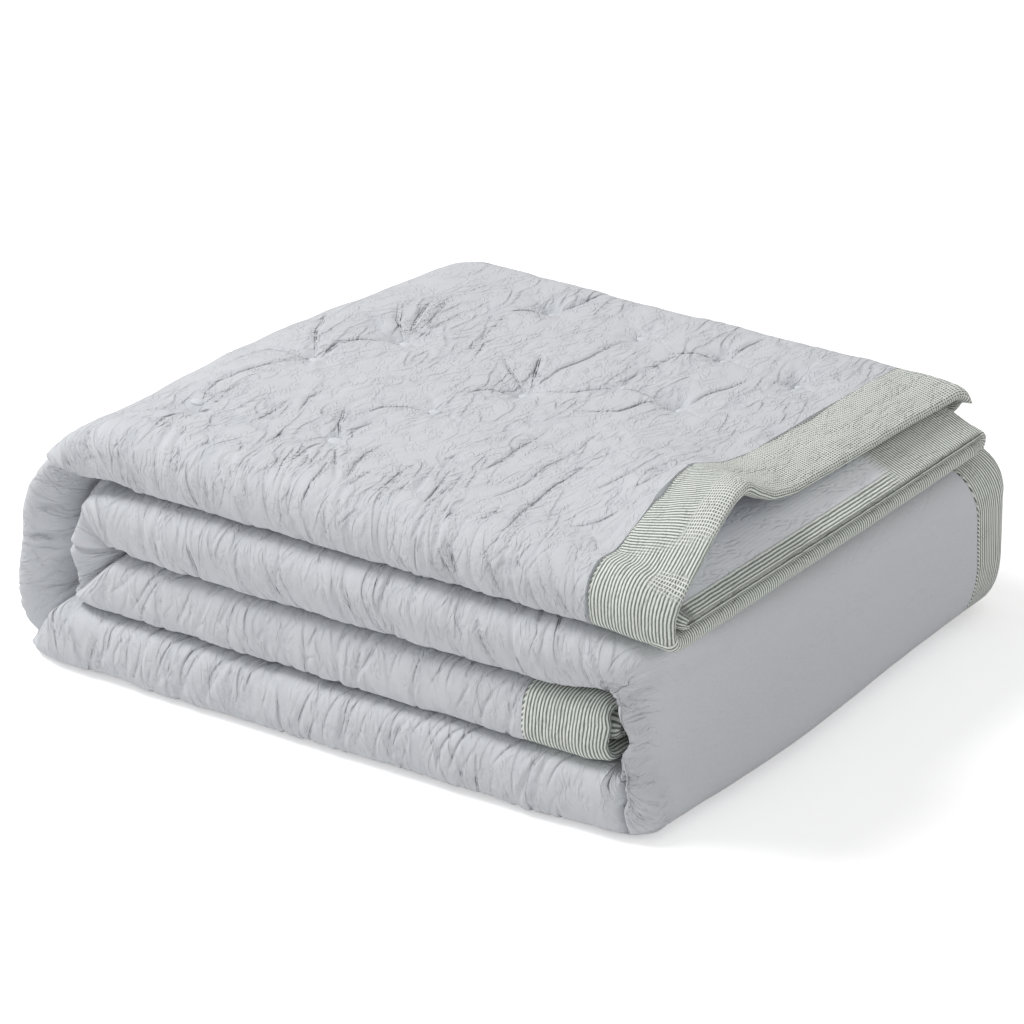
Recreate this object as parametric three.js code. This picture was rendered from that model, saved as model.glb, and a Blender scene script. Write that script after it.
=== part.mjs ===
// Summer duvet, folded in four across its width and then rolled up in four layers.
// Millimetres, +Z up, +X along the long front side, +Y to the back. It rests on z = 0.

import * as THREE from 'three';

// Driving dimensions of the cloth
const CLOTH = 12.4; // lofted thickness of one sheet of the duvet
const EASE = 1.2; // air between two sheets that lie on each other
const LEVEL = CLOTH + EASE; // rise from one sheet to the next
const PITCH = 4 * LEVEL; // one layer of the roll, four sheets
const HALF = PITCH / 2 - EASE / 2; // half of a layer's solid thickness
const END_BORDER = 72; // width of the striped panel along each end
const LONG_BORDER = 60; // width of the striped panel along each long side
const SEAM = 0.3; // gap between the quilt and a border panel
const HEM = 0.5; // share of the thickness that is left at a bound edge
const ROLL_HEM = 0.75; // the same on the rolled edge under the top layer's lip

// Driving dimensions of the folded stack, measured before it is sheared and pressed
const FRONT = -246; // foremost line of the front folds
const DEPTH = 503; // from there to the rearmost back edge
const LIP = 292; // right end of the top layer
const INNER_END = 236; // right end of the third layer, inside the right fold
const WALL_LEFT = -305; // outer face of the left fold
const WALL_RIGHT = 284; // outer face of the right fold
const LEFT_WALL = 48; // thickness of the left fold's wall
const RIGHT_WALL = 44; // thickness of the right fold's wall
const SOFT_CORNER = 125; // outer radius of the slack upper left corner
const SOFT_THICKNESS = 36; // thickness that is left of the cloth half way round it
const TIGHT_CORNER = 28; // centre-line radius of the other outer corners
const FULLNESS = 0.3; // how far a turned corner puffs out, share of its half thickness
const INNER_FULLNESS = 0.2; // the same for the fold inside the left wall
const TUCK = 7; // how far a turned corner draws back from the front and the back
const PAST_BEND = - 11; // the top layer's back seam lies this far round its bend
const OVERHANG = 56; // most of the long border that finds room past the bend
const PRESS = 0.13; // share of the height that the thin back edges lose
const SHEAR_LEFT = 40; // sideways drift of the left side over the whole depth
const SHEAR_RIGHT = 12; // the same on the right fold
const SHEAR_LIP = 0; // the same at the lip of the top layer
const BOX_MIDDLE = { x: -2.6, y: 4.5 }; // middle of the folded stack's box, becomes the origin

// The four layers from the surface up, with the height where each starts and ends
const LAYERS = {
	bottom: { low: 0, high: 54 },
	third: { low: 54, high: 105 },
	second: { low: 105, high: 163 },
	top: { low: 163, high: 217 },
};

// Tied tufts on the top layer, before the stack is sheared
const TUFTS = [
	{ x: -181, y: -168 },
	{ x: -174, y: -34 },
	{ x: -144, y: 40 },
	{ x: -66, y: -152 },
	{ x: -42, y: -60 },
	{ x: -96, y: 168 },
	{ x: -12, y: 16 },
	{ x: -3, y: 162 },
	{ x: 77, y: 162 },
	{ x: 155, y: 152 },
	{ x: 103, y: 62 },
	{ x: 186, y: -80 },
];
const TUFT_RADIUS = 4.5;
const TUFT_HEIGHT = 2; // half of a tuft's height
const DIMPLE_DEPTH = 5; // how far a tuft draws the cloth in
const DIMPLE_RADIUS = 24; // how far from the tuft its dimple reaches

// Rows across the top sheet and columns along the top layer, set so that they meet the tufts
const TOP_ROWS = [167, 153, 108, 62, 40, 16, -34, -60, -80, -112, -152, -168];
const TOP_COLUMNS = [186, 155, 130, 103, 77, 40, -3, -12, -42, -66, -96, -120, -144, -174];

// The top sheet's free end from the front to the back: how far it rises above its own level,
// and how far it lies behind the ends of the sheets under it
const LIP_SHAPE = [
	{ y: -246, lift: 0, setBack: 0 },
	{ y: -228, lift: -3, setBack: 1 },
	{ y: -199, lift: 14, setBack: 4 },
	{ y: -163, lift: 35, setBack: 8 },
	{ y: -136, lift: 45, setBack: 12 },
	{ y: -112, lift: 46, setBack: 16 },
	{ y: -90, lift: 32, setBack: 20 },
	{ y: -60, lift: 15, setBack: 26 },
	{ y: -27, lift: 7, setBack: 28 },
	{ y: 130, lift: 3, setBack: 28 },
	{ y: 208, lift: 0, setBack: 26 },
	{ y: 240, lift: -3, setBack: 22 },
];
const LIFT_REACH = 220; // how far into the top layer the lift fades out
const LIFT_DRIFT = 0.36; // how the raised fold swings to the back on its way in
const SET_BACK_REACH = 150; // how far in the setting back fades out
const LIP_CURL = 6; // width of the long border that still bends over the back at the lip
const ROLL_KEEP = 0.9; // share of its height that the lowest sheet keeps at the lip
const PAIR_KEEP = 0.4; // share that the two sheets above it keep
const SQUEEZE_REACH = 50; // how far in they are squeezed
const LIP_SAG = 4; // how far the lip sags where nothing carries it
const SAG_REACH = 60; // how far in the sag fades out

const lerp = ( a, b, t ) => a + ( b - a ) * t;
const smooth = ( t ) => THREE.MathUtils.smoothstep( t, 0, 1 );
const middle = ( layer ) => ( layer.low + layer.high ) / 2;
const height = ( layer ) => layer.high - layer.low;

// Value of a table's column at y, with straight lines between its rows
function readTable( table, column, y ) {

	const next = table.findIndex( ( row ) => row.y >= y );
	if ( next === 0 ) return table[ 0 ][ column ];
	if ( next < 0 ) return table[ table.length - 1 ][ column ];
	const a = table[ next - 1 ];
	const b = table[ next ];
	return lerp( a[ column ], b[ column ], ( y - a.y ) / ( b.y - a.y ) );

}

// Value at t of a short list that is spread evenly from 0 to 1
function spread( values, t ) {

	const at = t * ( values.length - 1 );
	const i = Math.min( Math.floor( at ), values.length - 2 );
	return lerp( values[ i ], values[ i + 1 ], at - i );

}

// Stations of the roll, from the lip inwards
// A station holds a point of the layer's centre line, the outward direction, the layer's
// thickness, the front and back lines, and how far the long border lies flat before its bend.
function straightRun( { from, to, thick, front, back, flat }, steps ) {

	const direction = new THREE.Vector2( to.x - from.x, to.z - from.z ).normalize();
	const out = { x: direction.y, z: - direction.x };
	return steps.map( ( t ) => ( {
		x: lerp( from.x, to.x, t ),
		z: lerp( from.z, to.z, t ),
		out,
		thick: spread( thick, t ),
		full: 0,
		front: spread( front, t ),
		back: spread( back, t ),
		flat: spread( flat, t ),
	} ) );

}

function turn( { centre, degrees, radius, thick, front, back, flat, tuck, fullness }, count ) {

	return Array.from( { length: count + 1 }, ( _, i ) => {

		const t = i / count;
		const angle = THREE.MathUtils.degToRad( spread( degrees, t ) );
		const out = { x: Math.cos( angle ), z: Math.sin( angle ) };
		const r = spread( radius, t );
		const bend = Math.sin( 2 * angle ) ** 2;
		return {
			x: centre.x + r * out.x,
			z: centre.z + r * out.z,
			out,
			thick: spread( thick, t ),
			full: fullness * bend,
			front: spread( front, t ) + tuck * bend,
			back: spread( back, t ) - tuck * bend,
			flat: spread( flat, t ),
		};

	} );

}

const evenly = ( count ) => Array.from( { length: count }, ( _, i ) => ( i + 1 ) / ( count + 1 ) );

function rollStations() {

	const { bottom, third, second, top } = LAYERS;
	const leftLine = WALL_LEFT + LEFT_WALL / 2;
	const rightLine = WALL_RIGHT - RIGHT_WALL / 2;
	const softX = WALL_LEFT + SOFT_CORNER;
	const softZ = top.high - SOFT_CORNER;
	const softThick = [ height( top ), SOFT_THICKNESS + 4, SOFT_THICKNESS, SOFT_THICKNESS + 4, LEFT_WALL ];
	const leftX = leftLine + TIGHT_CORNER;
	const rightX = rightLine - TIGHT_CORNER;
	const innerX = WALL_LEFT + LEFT_WALL + EASE + ( height( second ) + height( third ) ) / 2;
	const lowZ = middle( bottom ) + TIGHT_CORNER;
	const highRadius = height( second ) / 2 + EASE;
	const highZ = middle( second ) - highRadius;
	const lipSteps = [ LIP, LIP - 4, LIP - 14, LIP - 34, LIP - 54, LIP - END_BORDER + SEAM, LIP - END_BORDER ];
	const innerSeam = INNER_END - END_BORDER;
	const innerSteps = [ 0, SEAM, END_BORDER - 45, END_BORDER - 14, END_BORDER - 4, END_BORDER ]
		.map( ( past ) => innerSeam + past );

	const topLayer = straightRun( {
		from: { x: LIP, z: middle( top ) },
		to: { x: softX, z: middle( top ) },
		thick: [ height( top ), height( top ) ],
		front: [ FRONT, FRONT + 1 ],
		back: [ 236, 236 ],
		flat: [ PAST_BEND, PAST_BEND ],
	}, [ ...lipSteps, ...TOP_COLUMNS ].map( ( x ) => ( LIP - x ) / ( LIP - softX ) ) );
	const softTurn = turn( {
		centre: { x: softX, z: softZ },
		degrees: [ 90, 180 ],
		radius: softThick.map( ( thick ) => SOFT_CORNER - thick / 2 ),
		thick: softThick,
		front: [ FRONT + 1, FRONT + 6 ],
		back: [ 236, 240 ],
		flat: [ PAST_BEND, 6 ],
		tuck: 0,
		fullness: 0,
	}, 8 );
	const leftWall = straightRun( {
		from: { x: leftLine, z: softZ },
		to: { x: leftLine, z: lowZ },
		thick: [ LEFT_WALL, LEFT_WALL ],
		front: [ FRONT + 6, FRONT + 6 ],
		back: [ 240, 244 ],
		flat: [ 6, 12 ],
	}, evenly( 1 ) );
	const leftTurn = turn( {
		centre: { x: leftX, z: lowZ },
		degrees: [ 180, 270 ],
		radius: [ TIGHT_CORNER, TIGHT_CORNER ],
		thick: [ LEFT_WALL, height( bottom ) ],
		front: [ FRONT + 6, FRONT ],
		back: [ 244, 248 ],
		flat: [ 12, 14 ],
		tuck: TUCK,
		fullness: FULLNESS,
	}, 4 );
	const bottomLayer = straightRun( {
		from: { x: leftX, z: middle( bottom ) },
		to: { x: rightX, z: middle( bottom ) },
		thick: [ height( bottom ), height( bottom ) ],
		front: [ FRONT, FRONT ],
		back: [ 248, 252 ],
		flat: [ 14, 20, 38 ],
	}, evenly( 3 ) );
	const rightTurn = turn( {
		centre: { x: rightX, z: lowZ },
		degrees: [ 270, 360 ],
		radius: [ TIGHT_CORNER, TIGHT_CORNER ],
		thick: [ height( bottom ), RIGHT_WALL ],
		front: [ FRONT, FRONT + 5 ],
		back: [ 252, 257 ],
		flat: [ 38, 26 ],
		tuck: TUCK / 2,
		fullness: FULLNESS,
	}, 4 );
	const rightWall = straightRun( {
		from: { x: rightLine, z: lowZ },
		to: { x: rightLine, z: highZ },
		thick: [ RIGHT_WALL, RIGHT_WALL ],
		front: [ FRONT + 5, FRONT + 5 ],
		back: [ 257, 257 ],
		flat: [ 26, 28 ],
	}, evenly( 1 ) );
	const highTurn = turn( {
		centre: { x: rightX, z: highZ },
		degrees: [ 0, 90 ],
		radius: [ TIGHT_CORNER, highRadius ],
		thick: [ RIGHT_WALL, height( second ) ],
		front: [ FRONT + 5, FRONT + 2 ],
		back: [ 257, 254 ],
		flat: [ 28, 50 ],
		tuck: TUCK / 2,
		fullness: FULLNESS,
	}, 4 );
	const secondLayer = straightRun( {
		from: { x: rightX, z: middle( second ) },
		to: { x: innerX, z: middle( second ) },
		thick: [ height( second ), height( second ) ],
		front: [ FRONT + 2, FRONT + 1 ],
		back: [ 254, 250 ],
		flat: [ 50, 24 ],
	}, evenly( 4 ) );
	const innerTurn = turn( {
		centre: { x: innerX, z: second.low },
		degrees: [ 90, 270 ],
		radius: [ height( second ) / 2, height( third ) / 2 ],
		thick: [ height( second ), height( third ) ],
		front: [ FRONT + 1, FRONT + 3 ],
		back: [ 250, 247 ],
		flat: [ 24, 22 ],
		tuck: TUCK,
		fullness: INNER_FULLNESS,
	}, 8 );
	const thirdLayer = straightRun( {
		from: { x: innerX, z: middle( third ) },
		to: { x: INNER_END, z: middle( third ) },
		thick: [ height( third ), height( third ) ],
		front: [ FRONT + 3, FRONT + 4 ],
		back: [ 247, 245 ],
		flat: [ 22, 18 ],
	}, [ - 70, 30, 110, ...innerSteps ].map( ( x ) => ( x - innerX ) / ( INNER_END - innerX ) ) );

	for ( const station of topLayer ) {

		station.toLip = LIP - station.x;
		station.borderWidth = lerp( LIP_CURL, PAST_BEND + OVERHANG, smooth( station.toLip / END_BORDER ) );

	}

	for ( const station of thirdLayer ) station.toInnerEnd = INNER_END - station.x;
	return [ ...topLayer, ...softTurn, ...leftWall, ...leftTurn, ...bottomLayer, ...rightTurn,
		...rightWall, ...highTurn, ...secondLayer, ...innerTurn, ...thirdLayer ];

}

// One layer's section. y runs to the back and n outwards from the layer's centre line.
// A knot is a point on a sheet's middle line with the direction of its outer side. The sheet
// runs from the long border over the outer face, round the front, back underneath, round the
// back, forward and round the front again, to the other long border.
function arcKnots( y, n, radius, from, to, count, side, outer ) {

	const knots = [];
	for ( let i = 0; i <= count; i ++ ) {

		const angle = THREE.MathUtils.degToRad( lerp( from, to, i / count ) );
		const cy = Math.cos( angle );
		const cn = Math.sin( angle );
		knots.push( { y: y + radius * cy, n: n + radius * cn, my: side * cy, mn: side * cn, outer } );

	}

	return knots;

}

const flatKnots = ( rows, n, side, outer ) => rows.map( ( y ) => ( { y, n, my: 0, mn: side, outer } ) );

// Knot of the outer sheet at a distance past the point where it bends over the back edge
function edgeKnot( station, along ) {

	const bendY = station.back - PITCH / 2;
	const radius = 1.5 * LEVEL;
	const angle = Math.max( 0, Math.PI / 2 - Math.max( 0, along ) / radius );
	const hang = Math.max( 0, along - radius * Math.PI / 2 );
	return {
		y: bendY + radius * Math.cos( angle ) + Math.min( 0, along ),
		n: radius * Math.sin( angle ) - hang,
		my: Math.cos( angle ),
		mn: Math.sin( angle ),
		outer: true,
	};

}

// Outer long border, from its hem behind the layer up to its seam
function outerBorderKnots( station ) {

	const width = station.borderWidth ?? Math.min( LONG_BORDER, station.flat + OVERHANG );
	const count = 6;
	return Array.from( { length: count + 1 }, ( _, i ) =>
		edgeKnot( station, width * ( 1 - i / count ) - station.flat ) );

}

function quiltKnots( station ) {

	const frontY = station.front + PITCH / 2;
	const backY = station.back - PITCH / 2;
	const innerSeamY = backY - 2 - LONG_BORDER - SEAM;
	return [
		edgeKnot( station, - station.flat - SEAM ),
		edgeKnot( station, Math.min( 0, - station.flat - 8 ) ),
		...flatKnots( TOP_ROWS, 1.5 * LEVEL, 1, true ),
		...arcKnots( frontY, 0, 1.5 * LEVEL, 90, 270, 6, 1, true ),
		...flatKnots( [ 0 ], - 1.5 * LEVEL, - 1, true ),
		...arcKnots( backY - 1, - LEVEL, 0.5 * LEVEL, - 90, 90, 4, 1, false ),
		...flatKnots( [ 0 ], - 0.5 * LEVEL, 1, false ),
		...arcKnots( frontY, 0, 0.5 * LEVEL, 270, 90, 4, - 1, false ),
		...flatKnots( [ - 120, 0, innerSeamY ], 0.5 * LEVEL, - 1, false ),
	];

}

function innerBorderKnots( station ) {

	const hemY = station.back - PITCH / 2 - 2;
	return flatKnots( [ hemY - LONG_BORDER, hemY - 6, hemY ], 0.5 * LEVEL, - 1, false );

}

// Where a point (y, n) of a station's section lies in the folded stack
function place( station, y, n, outer ) {

	let level = n;
	let x = station.x;
	if ( station.toLip < LIFT_REACH ) {

		const whole = smooth( station.toLip / SQUEEZE_REACH );
		const rollTop = LEVEL - HALF;
		const pairTop = HALF - LEVEL;
		const roll = ( Math.min( n, rollTop ) + HALF ) * lerp( ROLL_KEEP, 1, whole );
		const pair = ( THREE.MathUtils.clamp( n, rollTop, pairTop ) - rollTop ) * lerp( PAIR_KEEP, 1, whole );
		const sag = LIP_SAG * Math.max( 0, 1 - station.toLip / SAG_REACH ) ** 2;
		level = roll + pair + Math.max( 0, n - pairTop ) - HALF - sag;
		if ( outer ) {

			const share = smooth( ( n + LEVEL ) / ( 2.5 * LEVEL ) );
			const fade = ( 1 - station.toLip / LIFT_REACH ) ** 1.3;
			const lift = readTable( LIP_SHAPE, 'lift', y - LIFT_DRIFT * station.toLip );
			const squeezed = ( 1 - ROLL_KEEP ) * LEVEL + ( 1 - PAIR_KEEP ) * ( pairTop - rollTop );
			level += share * ( fade * lift + ( 1 - whole ) * squeezed );
			x -= share * readTable( LIP_SHAPE, 'setBack', y )
				* Math.max( 0, 1 - station.toLip / SET_BACK_REACH );

		}

	}

	const scale = station.thick / PITCH * ( 1 + ( level > 0 ? station.full : 0 ) );
	const out = level * scale;
	return new THREE.Vector3( x + station.out.x * out, y, station.z + station.out.z * out );

}

// Draws a point of an outer face in towards the tufts
function dimple( point, outward ) {

	for ( const tuft of TUFTS ) {

		const away = Math.hypot( point.x - tuft.x, point.y - tuft.y ) / DIMPLE_RADIUS;
		point.addScaledVector( outward, - DIMPLE_DEPTH * Math.exp( - away * away ) );

	}

}

// Shears the stack sideways, presses its back edges down and brings the origin under it
function settle( point, right = SHEAR_RIGHT ) {

	const deep = ( point.y - FRONT ) / DEPTH;
	const across = ( point.x - WALL_LEFT ) / ( LIP - WALL_LEFT );
	const floor = EASE / 2 * height( LAYERS.bottom ) / PITCH;
	point.x += deep * lerp( SHEAR_LEFT, right, across ) - BOX_MIDDLE.x;
	point.z = ( point.z - floor ) * ( 1 - PRESS * deep );
	point.y -= BOX_MIDDLE.y;
	return point;

}

// Thickness that is left towards a bound end
function hemShare( station, n ) {

	const toEnd = station.toLip ?? station.toInnerEnd ?? 100;
	const hem = station.toLip !== undefined && n < LEVEL - HALF ? ROLL_HEM : HEM;
	return lerp( hem, 1, smooth( toEnd / 14 ) );

}

// Both faces of the cloth at one station, as one closed outline
function sectionOutline( station, knots, hems ) {

	const sides = [ 1, - 1 ].map( ( side ) => knots.map( ( knot, i ) => {

		const atHem = ( i === 0 && hems.first ) || ( i === knots.length - 1 && hems.last );
		const reach = side * CLOTH / 2 * hemShare( station, knot.n ) * ( atHem ? HEM : 1 );
		const point = place( station, knot.y + knot.my * reach, knot.n + knot.mn * reach, knot.outer );
		const shows = side > 0 && knot.outer && station.z > LAYERS.top.low && station.out.z > 0.9;
		if ( shows && knot.mn > 0.9 ) dimple( point, new THREE.Vector3( 0, 0, 1 ) );
		return settle( point, station.toLip === undefined ? SHEAR_RIGHT : SHEAR_LIP );

	} ) );
	return [ ...sides[ 0 ], ...sides[ 1 ].reverse() ];

}

// Closed solid through the stations' outlines
function loft( stations, makeKnots, hems ) {

	const outlines = stations.map( ( station ) => sectionOutline( station, makeKnots( station ), hems ) );
	const around = outlines[ 0 ].length;
	const positions = outlines.flat().flatMap( ( point ) => point.toArray() );
	const index = [];
	for ( let s = 0; s + 1 < stations.length; s ++ ) {

		for ( let i = 0; i < around; i ++ ) {

			const a = s * around + i;
			const b = s * around + ( i + 1 ) % around;
			if ( i < around - 1 ) index.push( a, b, b + around, a, b + around, a + around );
			else index.push( a, b, a + around, b, b + around, a + around );

		}

	}

	const last = ( stations.length - 1 ) * around;
	for ( let a = 0; a + 1 < around / 2; a ++ ) {

		const b = a + 1;
		const c = around - 2 - a;
		const d = around - 1 - a;
		index.push( b, a, c, a, d, c );
		index.push( last + a, last + b, last + c, last + a, last + c, last + d );

	}

	const geometry = new THREE.BufferGeometry();
	geometry.setAttribute( 'position', new THREE.Float32BufferAttribute( positions, 3 ) );
	geometry.setIndex( signedVolume( positions, index ) < 0 ? index.reverse() : index );
	geometry.computeVertexNormals();
	return geometry;

}

function signedVolume( positions, index ) {

	const corner = ( i ) => new THREE.Vector3().fromArray( positions, 3 * index[ i ] );
	let volume = 0;
	for ( let i = 0; i < index.length; i += 3 ) {

		volume += corner( i ).dot( corner( i + 1 ).cross( corner( i + 2 ) ) ) / 6;

	}

	return volume;

}

// Finishes
const cotton = new THREE.MeshStandardMaterial( { color: 0xc9ced3, roughness: 0.95, metalness: 0 } );
const pinstripe = new THREE.MeshStandardMaterial( { color: 0xb3b9b4, roughness: 0.95, metalness: 0 } );
const thread = new THREE.MeshStandardMaterial( { color: 0xd6dade, roughness: 0.9, metalness: 0 } );

function addPiece( group, name, geometry, material ) {

	const mesh = new THREE.Mesh( geometry, material );
	mesh.name = name;
	group.add( mesh );
	return mesh;

}

// Assembly
const duvet = new THREE.Group();
const stations = rollStations();
const lipSeam = stations.findIndex( ( station ) => station.toLip > END_BORDER - SEAM / 2 );
const innerSeam = stations.findIndex( ( station ) => station.toInnerEnd < END_BORDER - SEAM / 2 );
const quiltStations = stations.slice( lipSeam, innerSeam );
const wholeSheet = ( station ) => {

	const outer = outerBorderKnots( station );
	const inner = innerBorderKnots( station );
	return [ ...outer, ...quiltKnots( station ).slice( 1, - 1 ), ...inner ];

};

const quilt = addPiece( duvet, 'quilt', loft( quiltStations, quiltKnots, {} ), cotton );
addPiece( duvet, 'end_border_outer',
	loft( stations.slice( 0, lipSeam ), wholeSheet, { first: true, last: true } ), pinstripe );
addPiece( duvet, 'end_border_inner',
	loft( stations.slice( innerSeam ), wholeSheet, { first: true, last: true } ), pinstripe );
addPiece( duvet, 'long_border_outer',
	loft( quiltStations, outerBorderKnots, { first: true } ), pinstripe );
addPiece( duvet, 'long_border_inner',
	loft( quiltStations, innerBorderKnots, { last: true } ), pinstripe );

// Each tuft is seated in its dimple, just clear of the highest point of the cloth under it
const down = new THREE.Vector3( 0, 0, - 1 );
TUFTS.forEach( ( tuft, i ) => {

	const spot = settle( new THREE.Vector3( tuft.x, tuft.y, LAYERS.top.high ), SHEAR_LIP );
	const heights = [ 0, 1, 2, 3 ].map( ( quarter ) => {

		const angle = quarter * Math.PI / 2;
		const from = new THREE.Vector3( spot.x + 2 * Math.cos( angle ), spot.y + 2 * Math.sin( angle ), 400 );
		return new THREE.Raycaster( from, down ).intersectObject( quilt )[ 0 ].point.z;

	} );
	const shape = new THREE.SphereGeometry( TUFT_RADIUS, 8, 4 );
	shape.scale( 1, 1, TUFT_HEIGHT / TUFT_RADIUS );
	const mesh = addPiece( duvet, `tuft_${ String( i + 1 ).padStart( 2, '0' ) }`, shape, thread );
	mesh.position.set( spot.x, spot.y, Math.max( ...heights ) + TUFT_HEIGHT + SEAM );

} );

export default duvet;
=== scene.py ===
"""Looks of a summer duvet that is folded in four across its width and rolled up in four layers.

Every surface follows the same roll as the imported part: stations run along the roll from the open
lip inwards, and knots run round one layer's section. Both are sampled finely where the cloth
shows. Sizes are millimetres until a mesh is made, and metres in the scene.
"""

import logging
import math
import random
from dataclasses import dataclass, field, fields
from enum import Enum

import bmesh
import bpy
import numpy as np
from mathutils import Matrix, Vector, noise


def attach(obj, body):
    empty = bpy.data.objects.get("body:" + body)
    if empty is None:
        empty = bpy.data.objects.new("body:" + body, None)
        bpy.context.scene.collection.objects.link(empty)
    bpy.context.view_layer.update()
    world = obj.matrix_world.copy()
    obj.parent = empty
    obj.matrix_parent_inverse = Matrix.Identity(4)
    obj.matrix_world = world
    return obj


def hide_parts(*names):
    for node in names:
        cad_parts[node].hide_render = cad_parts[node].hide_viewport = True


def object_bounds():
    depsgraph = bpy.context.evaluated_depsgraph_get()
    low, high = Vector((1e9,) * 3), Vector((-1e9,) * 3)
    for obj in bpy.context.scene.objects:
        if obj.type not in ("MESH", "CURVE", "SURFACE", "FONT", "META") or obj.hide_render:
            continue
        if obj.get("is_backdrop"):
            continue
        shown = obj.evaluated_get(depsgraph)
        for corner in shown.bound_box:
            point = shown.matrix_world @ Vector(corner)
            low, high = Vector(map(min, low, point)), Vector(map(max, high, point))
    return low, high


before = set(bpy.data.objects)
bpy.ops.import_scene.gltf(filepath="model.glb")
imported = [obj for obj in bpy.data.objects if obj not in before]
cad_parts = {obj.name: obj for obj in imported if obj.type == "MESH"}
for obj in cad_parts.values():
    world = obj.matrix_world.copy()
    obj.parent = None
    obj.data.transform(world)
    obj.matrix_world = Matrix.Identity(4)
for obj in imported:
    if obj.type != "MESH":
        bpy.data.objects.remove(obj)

LOG = logging.getLogger("duvet")
MM = 0.001
FAR = 1e6
Array = np.ndarray


def smooth(t: Array) -> Array:
    """Returns t eased from 0 to 1."""
    t = np.clip(t, 0.0, 1.0)
    return t * t * (3 - 2 * t)


def spread(values: tuple[float, ...], t: Array) -> Array:
    """Returns the value at t of a short list that is spread evenly from 0 to 1."""
    return np.interp(t, np.linspace(0, 1, len(values)), values)


def steps(start: float, end: float, step: float) -> Array:
    """Returns evenly spaced values from start to end, about step apart."""
    return np.linspace(start, end, max(2, round(abs(end - start) / step) + 1))


def to_line(at: Array, line: tuple[tuple[float, float], ...]) -> tuple[Array, Array]:
    """Finds the nearest place on a line of several parts.

    Args:
        at: Points in two columns.
        line: The line's points.

    Returns:
        Each point's distance to the line, negative on its right side, and how far along the line
        that is, from 0 to 1.
    """
    corners = np.array(line, float)
    parts = corners[1:] - corners[:-1]
    lengths = np.linalg.norm(parts, axis=1)
    before = np.cumsum(lengths) - lengths
    best = np.full(at.shape[:-1], FAR)
    where = np.zeros(at.shape[:-1])
    hand = np.ones(at.shape[:-1])
    for start, part, length, done in zip(corners, parts, lengths, before):
        t = np.clip((at - start) @ part / length**2, 0, 1)
        off = at - start - t[..., None] * part
        away = np.linalg.norm(off, axis=-1)
        nearer = away < best
        where = np.where(nearer, (done + t * length) / lengths.sum(), where)
        hand = np.where(nearer, np.sign(part[0] * off[..., 1] - part[1] * off[..., 0]), hand)
        best = np.minimum(best, away)
    return best * hand, where


def noise_at(points: Array) -> Array:
    """Returns smooth noise, about -1 to 1, at an array of points in three columns."""
    flat = points.reshape(-1, 3).tolist()
    values = np.fromiter((noise.noise(p) for p in flat), float, len(flat))
    return values.reshape(points.shape[:-1])


def noise_over(roll: Array, cross: Array, sizes: tuple[float, float, float]) -> Array:
    """Returns noise over the cloth's chart, from its size along the roll, across it and its seed."""
    return noise_at(np.stack([roll / sizes[0], cross / sizes[1], sizes[2] + 0 * roll], -1))


# Sizes of the fold, as in the part's source but for fuller hems and flatter front folds


@dataclass(frozen=True)
class Layer:
    """Height where one layer of the stack starts and ends."""

    low: float
    high: float

    @property
    def middle(self) -> float:
        """Returns the height of the layer's centre line."""
        return (self.low + self.high) / 2

    @property
    def height(self) -> float:
        """Returns the layer's height."""
        return self.high - self.low


@dataclass(frozen=True)
class FoldSizes:
    """Driving sizes of the cloth and of the folded stack."""

    cloth: float = 12.4
    level: float = 13.6
    ease: float = 1.2
    end_border: float = 72.0
    long_border: float = 60.0
    seam: float = 0.1
    hem: float = 0.62
    roll_hem: float = 0.95
    end_hem_fade: float = 14.0
    end_roll_round: float = 7.0
    long_hem_fade: float = 12.0
    long_hem_round: float = 3.2
    hem_back: float = 2.0
    inner_back: float = 1.0
    bend_run: float = 8.0
    square: float = 3.6
    square_from: float = 472.0
    square_fade: float = 120.0
    square_blend: float = 3.0
    front: float = -246.0
    depth: float = 503.0
    lip: float = 292.0
    inner_end: float = 236.0
    wall_left: float = -305.0
    wall_right: float = 284.0
    left_wall: float = 48.0
    right_wall: float = 44.0
    soft_corner: float = 125.0
    soft_thickness: float = 36.0
    tight_corner: float = 28.0
    fullness: float = 0.3
    inner_fullness: float = 0.2
    tuck: float = 7.0
    past_bend: float = -11.0
    overhang: float = 56.0
    press: float = 0.13
    shear_left: float = 40.0
    shear_right: float = 12.0
    shear_from: float = 300.0
    shear_fade: float = 170.0
    middle_x: float = -2.6
    middle_y: float = 4.5
    bottom: Layer = Layer(0, 54)
    third: Layer = Layer(54, 105)
    second: Layer = Layer(105, 163)
    top: Layer = Layer(163, 217)

    @property
    def pitch(self) -> float:
        """Returns the height of four sheets."""
        return 4 * self.level

    @property
    def bend(self) -> float:
        """Returns the radius at which the outer sheet's middle line turns."""
        return 1.5 * self.level


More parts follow.
